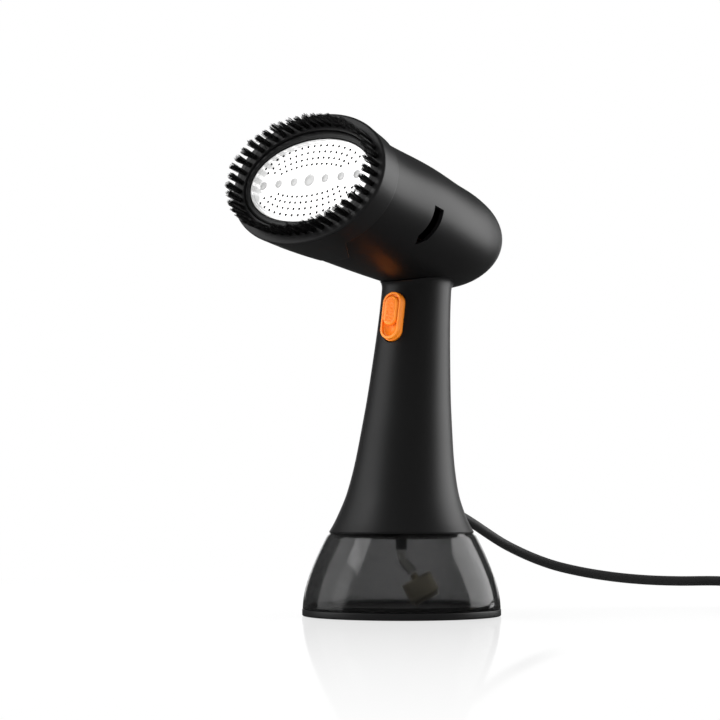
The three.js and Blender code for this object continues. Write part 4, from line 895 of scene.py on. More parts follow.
field = PLATE_RECESS + FIELD_DEPTH
back = PLATE_RECESS + PLATE_THICKNESS
outlets = [(x, OUTLET_RADIUS if x else CENTRE_OUTLET_RADIUS) for x in OUTLETS]
outlet_loops = [circle(x, 0, radius, 32) for x, radius in outlets]
fine_loops = [circle(x, y, FINE_HOLE, 10) for x, y in fine_holes]
flat_front, front_faces = holed_face(flat_oval(GROOVE + 0.25), outlet_loops + fine_loops)
flat_back, back_faces = holed_face(flat_oval(0.4), fine_loops)
parts = [
    (face_ring(flat_front, field), front_faces),
    (face_ring(flat_back, back), back_faces),
    skin([face_ring(flat_oval(inset), PLATE_RECESS + depth) for inset, depth in (
        (GROOVE + 0.25, FIELD_DEPTH), (GROOVE, 0.16), (GROOVE - 0.3, 0.16), (GROOVE - 0.5, 0.0), (0.9, 0.0),
        (0.45, 0.1), (0.12, 0.4), (0, 0.9), (0, PLATE_THICKNESS - 0.4), (0.4, PLATE_THICKNESS))]),
]
for loop in fine_loops:
    parts.append(skin([face_ring(loop, field), face_ring(loop, back)]))
for x, radius in outlets:
    ledge = field + 0.12
    dish = [(radius, field), (radius, ledge)]
    for angle in np.linspace(DISH_EDGE, DISH_MIDDLE, 9):
        dish.append((radius * math.sin(angle) / math.sin(DISH_EDGE),
                     ledge + OUTLET_DISH * (math.cos(angle) - math.cos(DISH_EDGE))))
    rings = [face_ring(circle(x, 0, r, 32), depth) for r, depth in dish]
    parts += [skin(rings), (rings[-1], [tuple(range(32))])]
piece("steam_plate_face", *together(*parts), "steam_plate", sharp=24)

# %% [markdown]
# ## Bristles
# Forty-six tufts stand in one row on the rim. Each is a bundle of thin filaments that leave
# the backing close together and splay a little towards ragged tips. Every filament is a
# three-sided prism with a slight bend. The random draws are seeded, so each run is the same.

# %% Tuft places, filaments and backing
TUFTS = 46
FILAMENTS = 96                     # in each tuft
FILAMENT_RADIUS = 0.15
SEGMENTS = 3


def row_turns():
    """Angles of the tufts, a step apart along the oval row."""
    fine = np.linspace(0, 2 * math.pi, 7201)
    x, y = ROW_HALF[0] * np.cos(fine), ROW_HALF[1] * np.sin(fine)
    run = np.concatenate([[0], np.cumsum(np.hypot(np.diff(x), np.diff(y)))])
    return np.interp((np.arange(TUFTS) + 0.5) / TUFTS * run[-1], run, fine)


def filament(root, tip, bow, radius, spin):
    """Rings of three points from the backing to the tip."""
    rings = []
    for k in range(SEGMENTS + 1):
        share = k / SEGMENTS
        middle = root + (tip - root) * share + bow * math.sin(math.pi * share)
        size = radius * (1 - 0.45 * share)
        rings.append([middle + size * np.array([math.cos(spin + t), math.sin(spin + t), 0])
                      for t in np.radians((0, 120, 240))])
    return rings


def strip(middle):
    """The quarter of the backing round the direction `middle`."""
    eighth = math.pi / 4 - 0.006   # with a small gap between the strips
    turn = np.linspace(middle - eighth, middle + eighth, 60)
    half = BACKING_WIDTH / 2
    corners = ((half, -0.1), (half, -BACKING_THICKNESS), (-half, -BACKING_THICKNESS), (-half, -0.1))
    rings = []
    for t in turn:
        rings.append([((ROW_HALF[0] + across) * math.cos(t), (ROW_HALF[1] + across) * math.sin(t), z)
                      for across, z in corners])
    points, faces = skin(rings)
    return points, faces + [(0, 1, 2, 3), tuple(len(points) - 4 + i for i in range(4))]


print("filaments:", TUFTS * FILAMENTS)

# %% Bristles
TUFT_LENGTH = 11.6
TUFT_LEAN = math.tan(math.radians(1.5))  # outwards
ROOT_SPREAD, TIP_SPREAD = 1.3, 2.1
ROOT_SINK = 0.3                    # how deep the filaments start in the backing
RAGGED, ROUNDED = 2.2, 0.6         # how much shorter a filament may be, by chance and off the middle
BOW = 0.12
draw = np.random.default_rng(46)
for index, side in enumerate(("right", "top", "left", "bottom")):
    middle = index * math.pi / 2
    parts = [strip(middle)]
    for turn in row_turns():
        if int((turn + math.pi / 4) % (2 * math.pi) // (math.pi / 2)) != index:
            continue
        seat_at = np.array([ROW_HALF[0] * math.cos(turn), ROW_HALF[1] * math.sin(turn), 0])
        out = np.array([math.cos(turn) / ROW_HALF[0], math.sin(turn) / ROW_HALF[1], 0])
        out = out / np.linalg.norm(out)
        sway = draw.normal(0, 0.3, 2)
        for _ in range(FILAMENTS):
            swing, away = draw.uniform(0, 2 * math.pi), math.sqrt(draw.uniform(0, 1))
            spoke = np.array([math.cos(swing), math.sin(swing), 0])
            length = TUFT_LENGTH - 0.1 - RAGGED * draw.uniform(0, 1) ** 2 - ROUNDED * away
            root = seat_at + spoke * away * ROOT_SPREAD - np.array([0, 0, ROOT_SINK])
            tip = seat_at + spoke * away * TIP_SPREAD + out * TUFT_LEAN * length
            tip = tip + np.array([sway[0] + draw.normal(0, 0.1), sway[1] + draw.normal(0, 0.1), length])
            rings = filament(root, tip, spoke * BOW * draw.uniform(-1, 1), FILAMENT_RADIUS, swing)
            points, faces = skin(rings)
            parts.append((points, faces + [(0, 2, 1), tuple(len(points) - 3 + i for i in range(3))]))
    points, faces = together(*parts)
    piece(f"tufts_{side}", [on_face(*p) for p in points], faces, f"bristles_{side}", sharp=60)

# %% [markdown]
# ## Trigger and lock pad
# The trigger is an orange block with a thin crisp rim round a pocket. An oval pad slides down
# in the pocket to lock it, over a deeper scoop for the fingertip, and the pad's face has a
# fine grid of grip studs. Nested outlines make both: the height of each ring gives the
# rounding. A small skirt below keeps the trigger's end in its window.

# %% Trigger's sizes and places
TRIGGER_PROUD, TRIGGER_INSIDE = 3.1, 4.2
TRIGGER_ROUND = 0.5
PAD = (9.2, 17.0)                  # width, length
PAD_TRAVEL, PAD_TOP = 5.4, 2.5     # how far it slides, its place below the trigger's top
POCKET_DEPTH, POCKET_RIM = 1.4, 1.2
SCOOP = (4.5, 5.6, 3.5)            # half width, half length, depth
SKIRT = (0.55, 0.4)                # reach below the trigger's end, height on the handle
PLUNGER = (1.6, 2.6, -9.4)         # radius, reach, place along the trigger
SPRING_ROOM = (2.5, 4.1, 3.05)     # inner and outer radius and depth round the plunger


def along_trigger(shift):
    """A place on the trigger that lies a shift further up."""
    return lambda x, y, z: on_trigger(x, y + shift, z)


def half_ring(start):
    """Half of the groove that the return spring sinks into when the trigger is pressed."""
    middle, end = (0, PLUNGER[2]), start + 190  # a little over half, so that two halves overlap
    return arc(middle, SPRING_ROOM[1], start, end, 20) + arc(middle, SPRING_ROOM[0], end, start, 20)


def ring_on_trigger(outline, height):
    return [on_trigger(x, y, height) for x, y in outline]


width, length, corner = TRIGGER_SIZE
pocket_middle = length / 2 - PAD_TOP - (PAD[1] + PAD_TRAVEL) / 2
scoop_middle = SCOOP[1] + POCKET_RIM + 0.3 - length / 2
print("pocket", round(pocket_middle, 1), "mm above the trigger's middle, scoop at", round(scoop_middle, 1))

# %% Trigger
skirted = [(x, y - SKIRT[0] / 2) for x, y in rounded_rectangle(width, length + SKIRT[0], corner)]
rings = [ring_on_trigger(skirted, height) for height in (-TRIGGER_INSIDE, SKIRT[1] - 0.3)]
rings += [ring_on_trigger([(x * 0.98, y + 0.2) for x, y in skirted], SKIRT[1])]
for height in (SKIRT[1] + 0.02, TRIGGER_PROUD - TRIGGER_ROUND):
    rings.append(ring_on_trigger(rounded_rectangle(width, length, corner), height))
for angle in np.radians(np.linspace(15, 90, 6)):
    inset = TRIGGER_ROUND * (1 - math.cos(angle))
    height = TRIGGER_PROUD - TRIGGER_ROUND * (1 - math.sin(angle))
    rings.append(ring_on_trigger(rounded_rectangle(width, length, corner, inset=inset), height))
on_plunger = along_trigger(PLUNGER[2])
plunger = rod(PLUNGER[0], -TRIGGER_INSIDE - PLUNGER[1], -TRIGGER_INSIDE + 0.01, on_plunger, sides=24)
trigger = piece("trigger_button", *together(skin(rings, caps=True), plunger), "trigger")

# %% What is cut from the trigger
pocket_width = width - 2 * POCKET_RIM
pocket = rounded_rectangle(pocket_width, length - 2 * POCKET_RIM - 0.4, pocket_width / 2 - 0.05, 14)
stem_slot = rounded_rectangle(2.4, PAD_TRAVEL + 3.2, 1.1, 6)
ball, ball_faces = revolved([(0, -1)] + arc((0, 0), 1, -75, 75, 11) + [(0, 1)], 40)
on_scoop = along_trigger(scoop_middle)
scoop = [on_scoop(SCOOP[0] * x, SCOOP[1] * y, TRIGGER_PROUD + SCOOP[2] * z) for x, y, z in ball]
spring_room = [prism(half_ring(start), -TRIGGER_INSIDE - 1, SPRING_ROOM[2] - TRIGGER_INSIDE, on_trigger)
               for start in (0, 180)]
cut(trigger,
    prism(pocket, TRIGGER_PROUD - POCKET_DEPTH, TRIGGER_PROUD + 3, on_trigger),
    (scoop, ball_faces),
    *spring_room,
    prism(stem_slot, -TRIGGER_INSIDE - 1, TRIGGER_PROUD, along_trigger(pocket_middle)))

# %% Lock pad
PAD_THICKNESS, PAD_ROUND = 1.9, 0.8
GRID_PITCH, STUD_HEIGHT = 0.85, 0.26
STUD_FOOT, STUD_TOP = 0.32, 0.22   # half the sides of a stud
STUD_MARGIN = 1.25                 # from the pad's edge in to the studs
STEM_WIDTH, STEM_LENGTH, HOOK_WIDTH = 1.6, 2.2, 4.2
on_pad = along_trigger(length / 2 - PAD_TOP - PAD[1] / 2)
pad_floor = TRIGGER_PROUD - POCKET_DEPTH + FIT
crown = pad_floor + PAD_THICKNESS


def pad_ring(inset, height):
    outline = rounded_rectangle(*PAD, PAD[0] / 2 - 0.05, 26, inset)
    return [on_pad(x, y, height) for x, y in outline]


def stud(x, y, height):
    """One small square stud of the grip."""
    rings = []
    for half, z in ((STUD_FOOT, height - 0.05), (STUD_TOP, height + STUD_HEIGHT)):
        rings.append([on_pad(x + sx * half, y + sy * half, z) for sx, sy in CORNERS])
    points, faces = skin(rings)
    return points, faces + [(4, 5, 6, 7)]


rings = [pad_ring(0, pad_floor), pad_ring(0, crown - PAD_ROUND)]
for angle in np.radians((25, 50, 75)):
    rings.append(pad_ring(PAD_ROUND * (1 - math.cos(angle)), crown - PAD_ROUND * (1 - math.sin(angle))))
rings.append(pad_ring(PAD_ROUND, crown))
studs = []
for column in np.arange(-4, 5) * GRID_PITCH:
    for row in np.arange(-8, 9) * GRID_PITCH:
        end = max(abs(row) - (PAD[1] - PAD[0]) / 2, 0)
        if math.hypot(column, end) < PAD[0] / 2 - STUD_MARGIN:
            studs.append(stud(column, row, crown))
stem = rounded_rectangle(STEM_WIDTH, STEM_LENGTH, 0.2, 3)
hook = rounded_rectangle(HOOK_WIDTH, STEM_LENGTH, 0.2, 3)
pad_skin = together(
    skin(rings, caps=True), *studs,
    prism(stem, -TRIGGER_INSIDE - 1, pad_floor + 0.5, on_pad),
    prism(hook, -TRIGGER_INSIDE - 1.2, -TRIGGER_INSIDE - 0.4, on_pad))
piece("lock_pad", *pad_skin, "lock_slider")
print("studs:", len(studs))

# %% [markdown]
# ## Tank and base
# The tank is a clear bell turned about the vertical, with a wall that bends light at its
# edges, so both surfaces are modelled and kept smooth. The base is a dark dish whose
# upstand seats inside the bell. The profiles are short lists with arcs at their corners.

# %% Tank
TANK_RADIUS, TANK_WALL, TANK_SHOULDER = 55.7, 2.3, 19.5
BASE_RADIUS, BASE_HEIGHT, BASE_UPSTAND, UPSTAND_WALL = 56.0, 3.9, 2.6, 1.8
MOUTH_HEIGHT = 1.3
SEAM_RADIUS = 41.2


def bell(inset):
    """The bell's outside, or its inside for an inset of the wall, from the base up."""
    foot = (TANK_RADIUS - inset, BASE_HEIGHT + FIT)
    shoulder = (TANK_RADIUS - inset - 0.1, TANK_SHOULDER)
    return [tuple(p) for p in bezier2(foot, shoulder, (SEAM_RADIUS - inset, rim_top), 60)]


rim_top = SEAM - SEAM_GAP / 2
mouth = SEAM_RADIUS - TANK_WALL
inside = [p for p in bell(TANK_WALL) if p[1] < SEAM - MOUTH_HEIGHT - 0.8][::-1]
profile = bell(0)[:-2] + arc((SEAM_RADIUS - 0.9, rim_top - 0.35), 0.35, 20, 90, 4)
profile += arc((mouth + 0.4, rim_top - 0.4), 0.4, 90, 180, 4) + [(mouth, SEAM - MOUTH_HEIGHT)] + inside
piece("tank_bell", *revolved(profile, 160), "tank_shell", sharp=40)

# %% Base
upstand = TANK_RADIUS - TANK_WALL - FIT
upstand_inside = upstand - UPSTAND_WALL
upstand_top = BASE_HEIGHT + BASE_UPSTAND
profile = [(0, 0.0), (BASE_RADIUS - 1.2, 0.0)] + arc((BASE_RADIUS - 0.8, 0.8), 0.8, -70, 0, 6)
profile += arc((BASE_RADIUS - 0.5, BASE_HEIGHT - 0.5), 0.5, 0, 90, 5)
profile += [(upstand + 0.02, BASE_HEIGHT), (upstand, upstand_top - 0.3), (upstand - 0.3, upstand_top)]
profile += [(upstand_inside + 0.3, upstand_top), (upstand_inside, upstand_top - 0.3)]
profile += [(upstand_inside, BASE_HEIGHT), (0, BASE_HEIGHT)]
piece("tank_foot", *revolved(profile, 160), "tank_base")

# %% [markdown]
# ## What shows through the tank
# The handle's floor, its seal, the suction hose and the weighted sinker are seen through
# the smoked wall, so they get round surfaces too. The hose hangs in a slight bow and turns
# into the sinker, which lies tilted near the floor of the tank.

# %% Handle's floor and seal
SPIGOT_CLEARANCE, SPIGOT_WALL, SPIGOT_REACH = 0.7, 2.0, 2.7
DECK, DECK_TOP = 3.2, SEAM + 5.1
NIPPLE, NIPPLE_BORE = 3.2, 1.6
NIPPLE_TOP, NIPPLE_BOTTOM = SEAM + 13.5, SEAM - 10
SEAL, SEAL_DEPTH = 0.75, 1.15      # radius of its section, its middle below the seam
BOSS = 9                           # radius of the boss under the deck
FLANGE = 0.12                      # half the thickness of the flange in the seam
deck = float(column_radius(SEAM + 2)) - HANDLE_WALL - FIT - 1.6
spigot, spigot_bottom = mouth - SPIGOT_CLEARANCE, SEAM - SPIGOT_REACH
seal_height = SEAM - SEAL_DEPTH
seal_radius = mouth - FIT - SEAL
groove_floor, groove_half = seal_radius - SEAL - FIT, SEAL + FIT / 2
flange = SEAM_RADIUS - 0.6
deck_floor = DECK_TOP - DECK
profile = [
    (spigot - SPIGOT_WALL - 1, spigot_bottom), (spigot, spigot_bottom),
    (spigot, seal_height - groove_half), (groove_floor, seal_height - groove_half),
    (groove_floor, seal_height + groove_half), (spigot, seal_height + groove_half),
    (spigot, SEAM - FLANGE), (flange, SEAM - FLANGE), (flange, SEAM + FLANGE),
    (deck, SEAM + FLANGE), (deck, DECK_TOP - 1.6), (deck - 1, DECK_TOP),
    (NIPPLE + 1.6, DECK_TOP), (NIPPLE, DECK_TOP + 1), (NIPPLE, NIPPLE_TOP), (NIPPLE_BORE, NIPPLE_TOP),
    (NIPPLE_BORE, NIPPLE_BOTTOM), (NIPPLE, NIPPLE_BOTTOM), (NIPPLE, deck_floor - 3), (BOSS, deck_floor - 3),
    (BOSS, deck_floor), (spigot - SPIGOT_WALL - 1, deck_floor),
]
piece("handle_floor", *revolved(profile, 96), "foot_plate")
piece("seal_ring", *revolved(arc((seal_radius, seal_height), SEAL, 0, 330, 12), 96), "tank_seal")

# %% Sinker and filter
SINKER_CENTRE = np.array([8.6, 6.2, 15.6])
SINKER_RADIUS, SINKER_LENGTH = 8.9, 11.0
SINKER_LEAN = math.radians(62)
SINKER_BARB = 3                    # length of the barb that the hose is pushed over
across = SINKER_CENTRE * (1, 1, 0) / np.linalg.norm(SINKER_CENTRE[:2])
sinker_axis = across * math.cos(SINKER_LEAN) + np.array([0, 0, -math.sin(SINKER_LEAN)])
sinker_side = np.cross([0, 0, 1.0], across)
sinker_up = np.cross(sinker_axis, sinker_side)


def on_sinker(points):
    return SINKER_CENTRE + np.asarray(points, float) @ [sinker_side, sinker_up, sinker_axis]


half = SINKER_LENGTH / 2
barb = -half - SINKER_BARB
groove = SINKER_RADIUS - 0.35
profile = [(0, barb), (1.9, barb), (2.2, barb + 0.4), (2.2, -half), (SINKER_RADIUS - 2.4, -half)]
profile += arc((SINKER_RADIUS - 0.8, -half + 0.8), 0.8, -90, 0)
profile += [(SINKER_RADIUS, half - 3), (groove, half - 2.7), (groove, half - 2.3), (SINKER_RADIUS, half - 2)]
profile += arc((SINKER_RADIUS - 0.8, half - 0.8), 0.8, 0, 90) + [(0, half)]
points, faces = revolved(profile, 72)
piece("weight", on_sinker(points), faces, "sinker")
filter_face = half + FIT
profile = [(0, filter_face), (SINKER_RADIUS - 1.4, filter_face), (SINKER_RADIUS - 1.4, filter_face + 1.6),
           (SINKER_RADIUS - 1.9, filter_face + 2), (0, filter_face + 2)]
points, faces = revolved(profile, 72)
piece("filter_disc", on_sinker(points), faces, "sinker_filter")

# %% Lines and tubes
def smooth_line(points, spacing):
    """Centripetal Catmull-Rom curve through points, sampled at even steps."""
    points = np.asarray(points, float)
    ends = (2 * points[0] - points[1], 2 * points[-1] - points[-2])
    knots = np.vstack([ends[0], points, ends[1]])
    line = []
    for a, b, c, d in zip(knots, knots[1:], knots[2:], knots[3:]):
        t0 = 0.0
        t1 = t0 + np.linalg.norm(b - a) ** 0.5
        t2 = t1 + np.linalg.norm(c - b) ** 0.5
        t3 = t2 + np.linalg.norm(d - c) ** 0.5
        for t in np.linspace(t1, t2, 24, endpoint=False):
            p1 = ((t1 - t) * a + (t - t0) * b) / (t1 - t0)
            p2 = ((t2 - t) * b + (t - t1) * c) / (t2 - t1)
            p3 = ((t3 - t) * c + (t - t2) * d) / (t3 - t2)
            q1 = ((t2 - t) * p1 + (t - t0) * p2) / (t2 - t0)
            q2 = ((t3 - t) * p2 + (t - t1) * p3) / (t3 - t1)
            line.append(((t2 - t) * q1 + (t - t1) * q2) / (t2 - t1))
    line.append(points[-1])
    line = np.array(line)
    run = np.concatenate([[0], np.cumsum(np.linalg.norm(np.diff(line, axis=0), axis=1))])
    wanted = np.linspace(0, run[-1], max(2, int(run[-1] / spacing)))
    return np.stack([np.interp(wanted, run, line[:, i]) for i in range(3)], 1)


def tube(line, radii, sides=32):
    """Rings along a line without twist; with a second radius they come back inside the tube."""
    line = np.asarray(line, float)
    way = np.gradient(line, axis=0)
    way /= np.linalg.norm(way, axis=1)[:, None]
    side = np.cross(way[0], (0.3, 0.2, 1.0))
    side /= np.linalg.norm(side)
    turn = np.linspace(0, 2 * math.pi, sides, endpoint=False)
    frames = []
    for direction in way:
        side = side - direction * (side @ direction)
        side /= np.linalg.norm(side)
        frames.append((side, np.cross(direction, side)))
    rings = []
    for radius, order in zip(radii, (1, -1)):
        for point, (a, b) in list(zip(line, frames))[::order]:
            rings.append(point + radius * (np.outer(np.cos(turn), a) + np.outer(np.sin(turn), b)))
    return rings


print("a bend through three points takes", len(smooth_line([(0, 0, 0), (9, 0, 0), (9, 9, 0)], 1)), "steps")

# %% Suction hose
HOSE_RADIUS, HOSE_BORE, HOSE_GAP = 2.7, 1.7, 0.5
HOSE_BOW = [(0.7, 30.9), (2.3, 28.6), (4.2, 26.6)]  # out towards the sinker, height
hose_end = SINKER_CENTRE - sinker_axis * (half + SINKER_BARB + FIT)
hose_top = NIPPLE_BOTTOM - HOSE_GAP
route = [(0, 0, hose_top), (0, 0, hose_top - 2.5)]
route += [(*(across[:2] * out), height) for out, height in HOSE_BOW]
route += [hose_end - sinker_axis * 1.5, hose_end]
hose = skin(tube(smooth_line(route, 0.6), (HOSE_RADIUS, HOSE_BORE)), loop=True)
piece("suction_tube", *hose, "suction_hose", sharp=40)

# %% [markdown]
# ## The mains cord
# A cord is one length of something springy. It leaves a tapered strain relief low at the
# back, sinks to the table in a long curve and runs out of the picture. What the picture
# doesn't show is put away as a flat coil of two layers: the lower winds in, the lead climbs
# where it turns, and the upper winds out to the plug.

# %% Coil
CORD_RADIUS = 2.9
COIL_CENTRE = (175.5, 173.0)
COIL_TURNS = 6.17
COIL_START = math.radians(60)      # where the lead runs in
COIL_MEAN = 40.0
COIL_PITCH = 2 * CORD_RADIUS + 0.75
PLUG_STRETCH = 12.0


def coil_points():
    """The coil's line: the lower layer winds in, and the upper one out and on to the plug."""
    turns_in = (COIL_TURNS - 0.5) / 2
    inner = COIL_MEAN - COIL_PITCH * (turns_in + 0.25) / 2
    steps = round(COIL_TURNS * 24)
    points = []
    for turn in np.linspace(0, COIL_TURNS, steps + 1):
        share = min(max((turn - turns_in) / 0.5, 0), 1)
        height = CORD_RADIUS + 0.25 + COIL_PITCH * share * share * (3 - 2 * share)
        radius = inner + COIL_PITCH * abs(turn - turns_in - 0.25)
        angle = COIL_START - turn * 2 * math.pi
        x, y = COIL_CENTRE[0] + radius * math.cos(angle), COIL_CENTRE[1] + radius * math.sin(angle)
        points.append((x, y, height))
    points = np.array(points)
    straight = 2 * CORD_RADIUS + 2
    entry = (points[0] - points[1]) / np.linalg.norm(points[0] - points[1])
    leaving = (points[-1] - points[-2]) * (1, 1, 0)
    leaving = leaving / np.linalg.norm(leaving)
    first, last = points[0] + entry * straight, points[-1] + leaving * (straight + PLUG_STRETCH)
    return np.vstack([first, points, last])


coil = coil_points()
print("coil:", COIL_TURNS, "turns,", len(coil), "points")

# %% Cord
RELIEF_LENGTH, RELIEF_TIP = 27.0, 3.5
LEAD_ROUTE = [
    (1.6, 68.7, 51.7), (8.8, 90.7, 39.6), (14.2, 100, 34.5), (20.3, 108.2, 30.2), (28.8, 117.2, 25.9),
    (41.3, 128.9, 21.9), (56.1, 141.7, 18.8), (71, 154.3, 17), (85.9, 166.8, 16.3), (105.3, 183.9, 16.2),
    (122, 199.5, 14.2), (136.5, 213.5, 10.8), (148.2, 223.2, 7.6), (161.7, 228.6, 5.2), (178, 227.6, 3.7),
]
coil_way = (coil[1] - coil[0]) / np.linalg.norm(coil[1] - coil[0])
relief_tip = RELIEF_ROOT + relief_way * RELIEF_LENGTH
lead = [relief_tip + relief_way * FIT, relief_tip + relief_way * (FIT + 5), *map(np.array, LEAD_ROUTE)]
lead += [coil[0] - coil_way * 9]
cord_line = smooth_line(np.vstack([lead, coil]), 2.0)
points, faces = skin(tube(cord_line, (CORD_RADIUS,), sides=20), caps=True)
cord = piece("mains_cord", points, faces, "mains_lead", "lead_coil", sharp=50)

# %% [markdown]
# ## Plug and strain relief
# The plug is a plain one with two flat blades. Its body is a skin over rings that a power of
# the sine and cosine draws out towards squares. The ribs of its sleeve, and those of the
# tapered strain relief where the cord leaves the handle, come from loops over one rib's form.

# %% Plug
PLUG_LENGTH = 34.0
BLADE = (1.5, 16.5, 6.4)           # thickness, length, width
BLADE_SPACING = 12.7
SLEEVE_RIBS = 4
PLUG_RIB_START, PLUG_RIB_PITCH = 1.6, 2.6
plug_way = coil[-1] - coil[-2]
plug_way = plug_way * (1, 1, 0) / np.linalg.norm(plug_way[:2])
plug_side = np.array([plug_way[1], -plug_way[0], 0])
plug_root = coil[-1] + plug_way * FIT


def on_plug(x, y, z):
    return plug_root + x * plug_side + y * plug_way + np.array([0, 0, z])


def squared(value):
    """A cosine or sine that draws a circle out towards a square."""
    return math.copysign(abs(value) ** 0.62, value)


def plug_ring(y, half_width, half_height):
    turn = np.linspace(0, 2 * math.pi, 64, endpoint=False)
    return [on_plug(half_width * squared(math.cos(t)), y, half_height * squared(math.sin(t))) for t in turn]


sections = [(0, 4.0, 4.0), (0.4, 4.3, 4.3)]  # place along the plug, half width, half height
for rib in range(SLEEVE_RIBS):
    for along, half in ((0, 4.3), (0.3, 3.8), (1.1, 3.8), (1.4, 4.4)):
        half += 0.2 * rib
        sections.append((PLUG_RIB_START + rib * PLUG_RIB_PITCH + along, half, half))
sections += [(12, 5.4, 5.2), (13.4, 7.6, 6.2), (15, 10.8, 7.6), (17, 12.1, 8.6), (19, 12.5, 9)]
sections += [(PLUG_LENGTH - 2, 12.5, 9), (PLUG_LENGTH - 0.6, 12.2, 8.7), (PLUG_LENGTH, 11.5, 8)]
plug = piece("plug", *skin([plug_ring(*section) for section in sections], caps=True), "plug_body")
thickness, reach, half = BLADE[0], BLADE[1], BLADE[2] / 2
edge = [(half, 0), (half, reach - 1.6), (half - 0.9, reach - 0.4), (half - 2, reach)]
outline = edge + [(-x, y) for x, y in edge[::-1]]
for side, name in ((-1, "left"), (1, "right")):
    middle = side * BLADE_SPACING / 2
    solid = prism(outline, middle - thickness / 2, middle + thickness / 2,
                  lambda z, y, x: on_plug(x, PLUG_LENGTH + FIT + y, z))
    piece(f"blade_{name}", *solid, f"plug_blade_{name}")

# %% Strain relief
RELIEF_FLANGE = 6.0                # radius of the flange inside the handle
RELIEF_RIB_START, RELIEF_RIB_PITCH = 9.0, 3.9
profile = [(0, -3.4), (RELIEF_FLANGE, -3.4), (RELIEF_FLANGE, -1.4)]
profile += [(RELIEF_RADIUS, -1.2), (RELIEF_RADIUS, 7)]
for rib in range(SLEEVE_RIBS):
    radius = RELIEF_RADIUS - 0.1 - (RELIEF_RADIUS - RELIEF_TIP) * rib / SLEEVE_RIBS
    for drawn_in, along in ((0, 0), (0.7, 0.3), (0.7, 1.2), (0.15, 1.5)):
        profile.append((radius - drawn_in, RELIEF_RIB_START + rib * RELIEF_RIB_PITCH + along))
profile += [(RELIEF_TIP + 0.1, RELIEF_LENGTH - 2), (RELIEF_TIP, RELIEF_LENGTH - 0.4)]
profile += [(RELIEF_TIP - 0.3, RELIEF_LENGTH), (0, RELIEF_LENGTH)]
points, faces = revolved(profile, 48)
piece("cord_sleeve", [on_relief(*p) for p in points], faces, "strain_relief")

# %% [markdown]
# ## The studio
# Black plastic is drawn by what it reflects. A tall box stands behind on the right and shows
# in reflections only, a second one stands at the left, and a card hangs where the steam plate
# mirrors it. A small lamp at the front left lights matt surfaces only. All else is dark for
# reflections, the floor too, but for a pale strip low behind the object. Rays that go
# straight to the background find plain white, and rays that light matt surfaces find an even
# white. The floor mirrors the object faintly at a glance, in front of it, as acrylic does.

# %% Floor
FLOOR_SIZE = 6.0                   # m, from its middle to its edge
MIRROR = 0.36


def bare_tree(owner):
    """An empty node tree with the same small language."""
    tools = Finish.__new__(Finish)
    owner.use_nodes = True
    tools.tree = owner.node_tree
    tools.tree.nodes.clear()
    return tools


def faint_mirror(material):
    """Plain white to the camera, dark to reflections, and a mirror near the object's front."""
    base = bare_tree(material)
    where = base.place()
    away = base.add("VectorMath", {"operation": "LENGTH"}, {0: where}, output="Value")
    seen = base.add("LightPath", output="Is Camera Ray")
    through = base.add("LightPath", output="Is Transmission Ray")
    glanced = base.add("LightPath", output="Is Glossy Ray") * (1 - through)
    matt = base.add("BsdfDiffuse", {}, {"Color": (0.9, 0.9, 0.9, 1)})
    dark = base.add("BsdfDiffuse", {}, {"Color": (0.05, 0.05, 0.05, 1)})
    glow = base.add("Emission", {}, {"Color": (1, 1, 1, 1), "Strength": 1.0})
    gloss = base.add("BsdfGlossy", {}, {"Color": (1, 1, 1, 1), "Roughness": 0.05})
    sheet = base.add("MixShader", {}, {0: glanced, 1: matt, 2: dark})
    sheet = base.add("MixShader", {}, {0: seen * (0.86 + 0.14 * away.steps(0.1, 0.6)), 1: sheet, 2: glow})
    aside = base.dot(where, rightward)
    aside = aside.math("ABSOLUTE", aside)
    behind = base.dot(where, inward)
    glance = base.add("Fresnel", {}, {"IOR": 1.2})
    fade = (1 - away.steps(0.02, 0.72)) * (1 - aside.steps(0.045, 0.075)) * (1 - behind.steps(0.03, 0.08))
    sheet = base.add("MixShader", {}, {0: MIRROR * glance * seen * fade, 1: sheet, 2: gloss})
    base.add("OutputMaterial", {}, {"Surface": sheet}, output=None)


floor_mesh = bpy.data.meshes.new("floor")
corners = [(sx * FLOOR_SIZE, sy * FLOOR_SIZE, 0) for sx, sy in CORNERS]
floor_mesh.from_pydata(corners, [], [(0, 1, 2, 3)])
floor_mesh.materials.append(bpy.data.materials.new("floor"))
faint_mirror(floor_mesh.materials[0])
floor = bpy.data.objects.new("floor", floor_mesh)
floor.location.z = -0.2 * MM       # just below the object, so that the two faces don't meet
scene.collection.objects.link(floor)
print("floor:", 2 * FLOOR_SIZE, "m square")

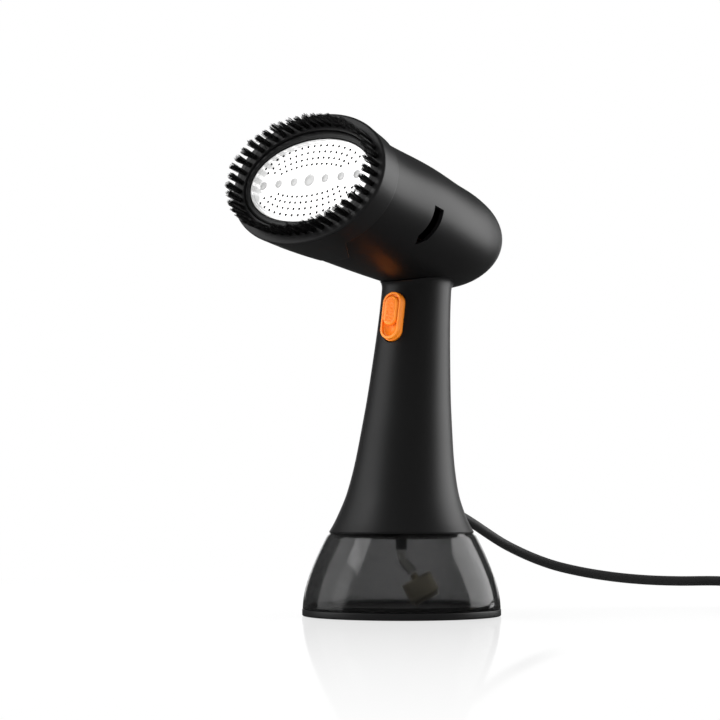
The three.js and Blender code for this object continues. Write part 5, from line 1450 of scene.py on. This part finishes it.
# %% World
def studio_world(ambient, shade_level):
    """White to the camera; an even light for matt surfaces; dark for reflections, with one pale strip."""
    scene.world = bpy.data.worlds.new("studio")
    air = bare_tree(scene.world)
    through = air.add("LightPath", output="Is Transmission Ray")
    seen = air.add("LightPath", output="Is Camera Ray") + through
    glanced = air.add("LightPath", output="Is Glossy Ray") * (1 - through)
    way = air.add("TexCoord", output="Generated")
    behind = air.dot(way, inward).steps(0.9, 0.97)
    low_strip = behind * (1 - air.dot(way, (0, 0, 1)).steps(0.14, 0.24))
    strength = ambient + seen * (1 - ambient) + glanced * (low_strip + shade_level - ambient)
    background = air.add("Background", {}, {"Color": (1, 1, 1, 1), "Strength": strength})
    air.add("OutputWorld", {}, {"Surface": background}, output=None)


studio_world(ambient=1.08, shade_level=0.07)
print("world nodes:", len(scene.world.node_tree.nodes))

# %% Lamps
TARGET = Vector((0, -0.01, 0.15))


def softbox(name, turn, height, distance, size, radiance, mirrored=True, lights=True):
    """An area lamp, placed by its turn in degrees from the camera's side, and its distance.

    It can be left out of reflections with mirrored, or out of matt surfaces with lights."""
    angle = CAMERA_TURN + math.radians(turn)
    place = Vector((math.sin(angle), -math.cos(angle), 0)) * distance + Vector((0, 0, height))
    lamp = bpy.data.lights.new(name, "AREA")
    lamp.shape = "RECTANGLE"
    lamp.size, lamp.size_y = size
    lamp.energy = radiance * math.pi * size[0] * size[1]
    obj = bpy.data.objects.new(name, lamp)
    obj.location = place
    obj.rotation_mode = "QUATERNION"
    obj.rotation_quaternion = (TARGET - place).to_track_quat("-Z", "Y")
    obj.visible_glossy = mirrored
    obj.visible_diffuse = lights
    scene.collection.objects.link(obj)


softbox("right_box", 110, 0.3, 1.1, (1.0, 1.1), 2.65, lights=False)
softbox("front_lamp", -78, 0.4, 1.2, (0.5, 0.5), 5.5, mirrored=False)
softbox("left_box", -91, 0.45, 1.2, (1.0, 1.1), 1.0)
softbox("plate_card", -72.6, 1.137, 1.27, (0.6, 0.5), 2.4)
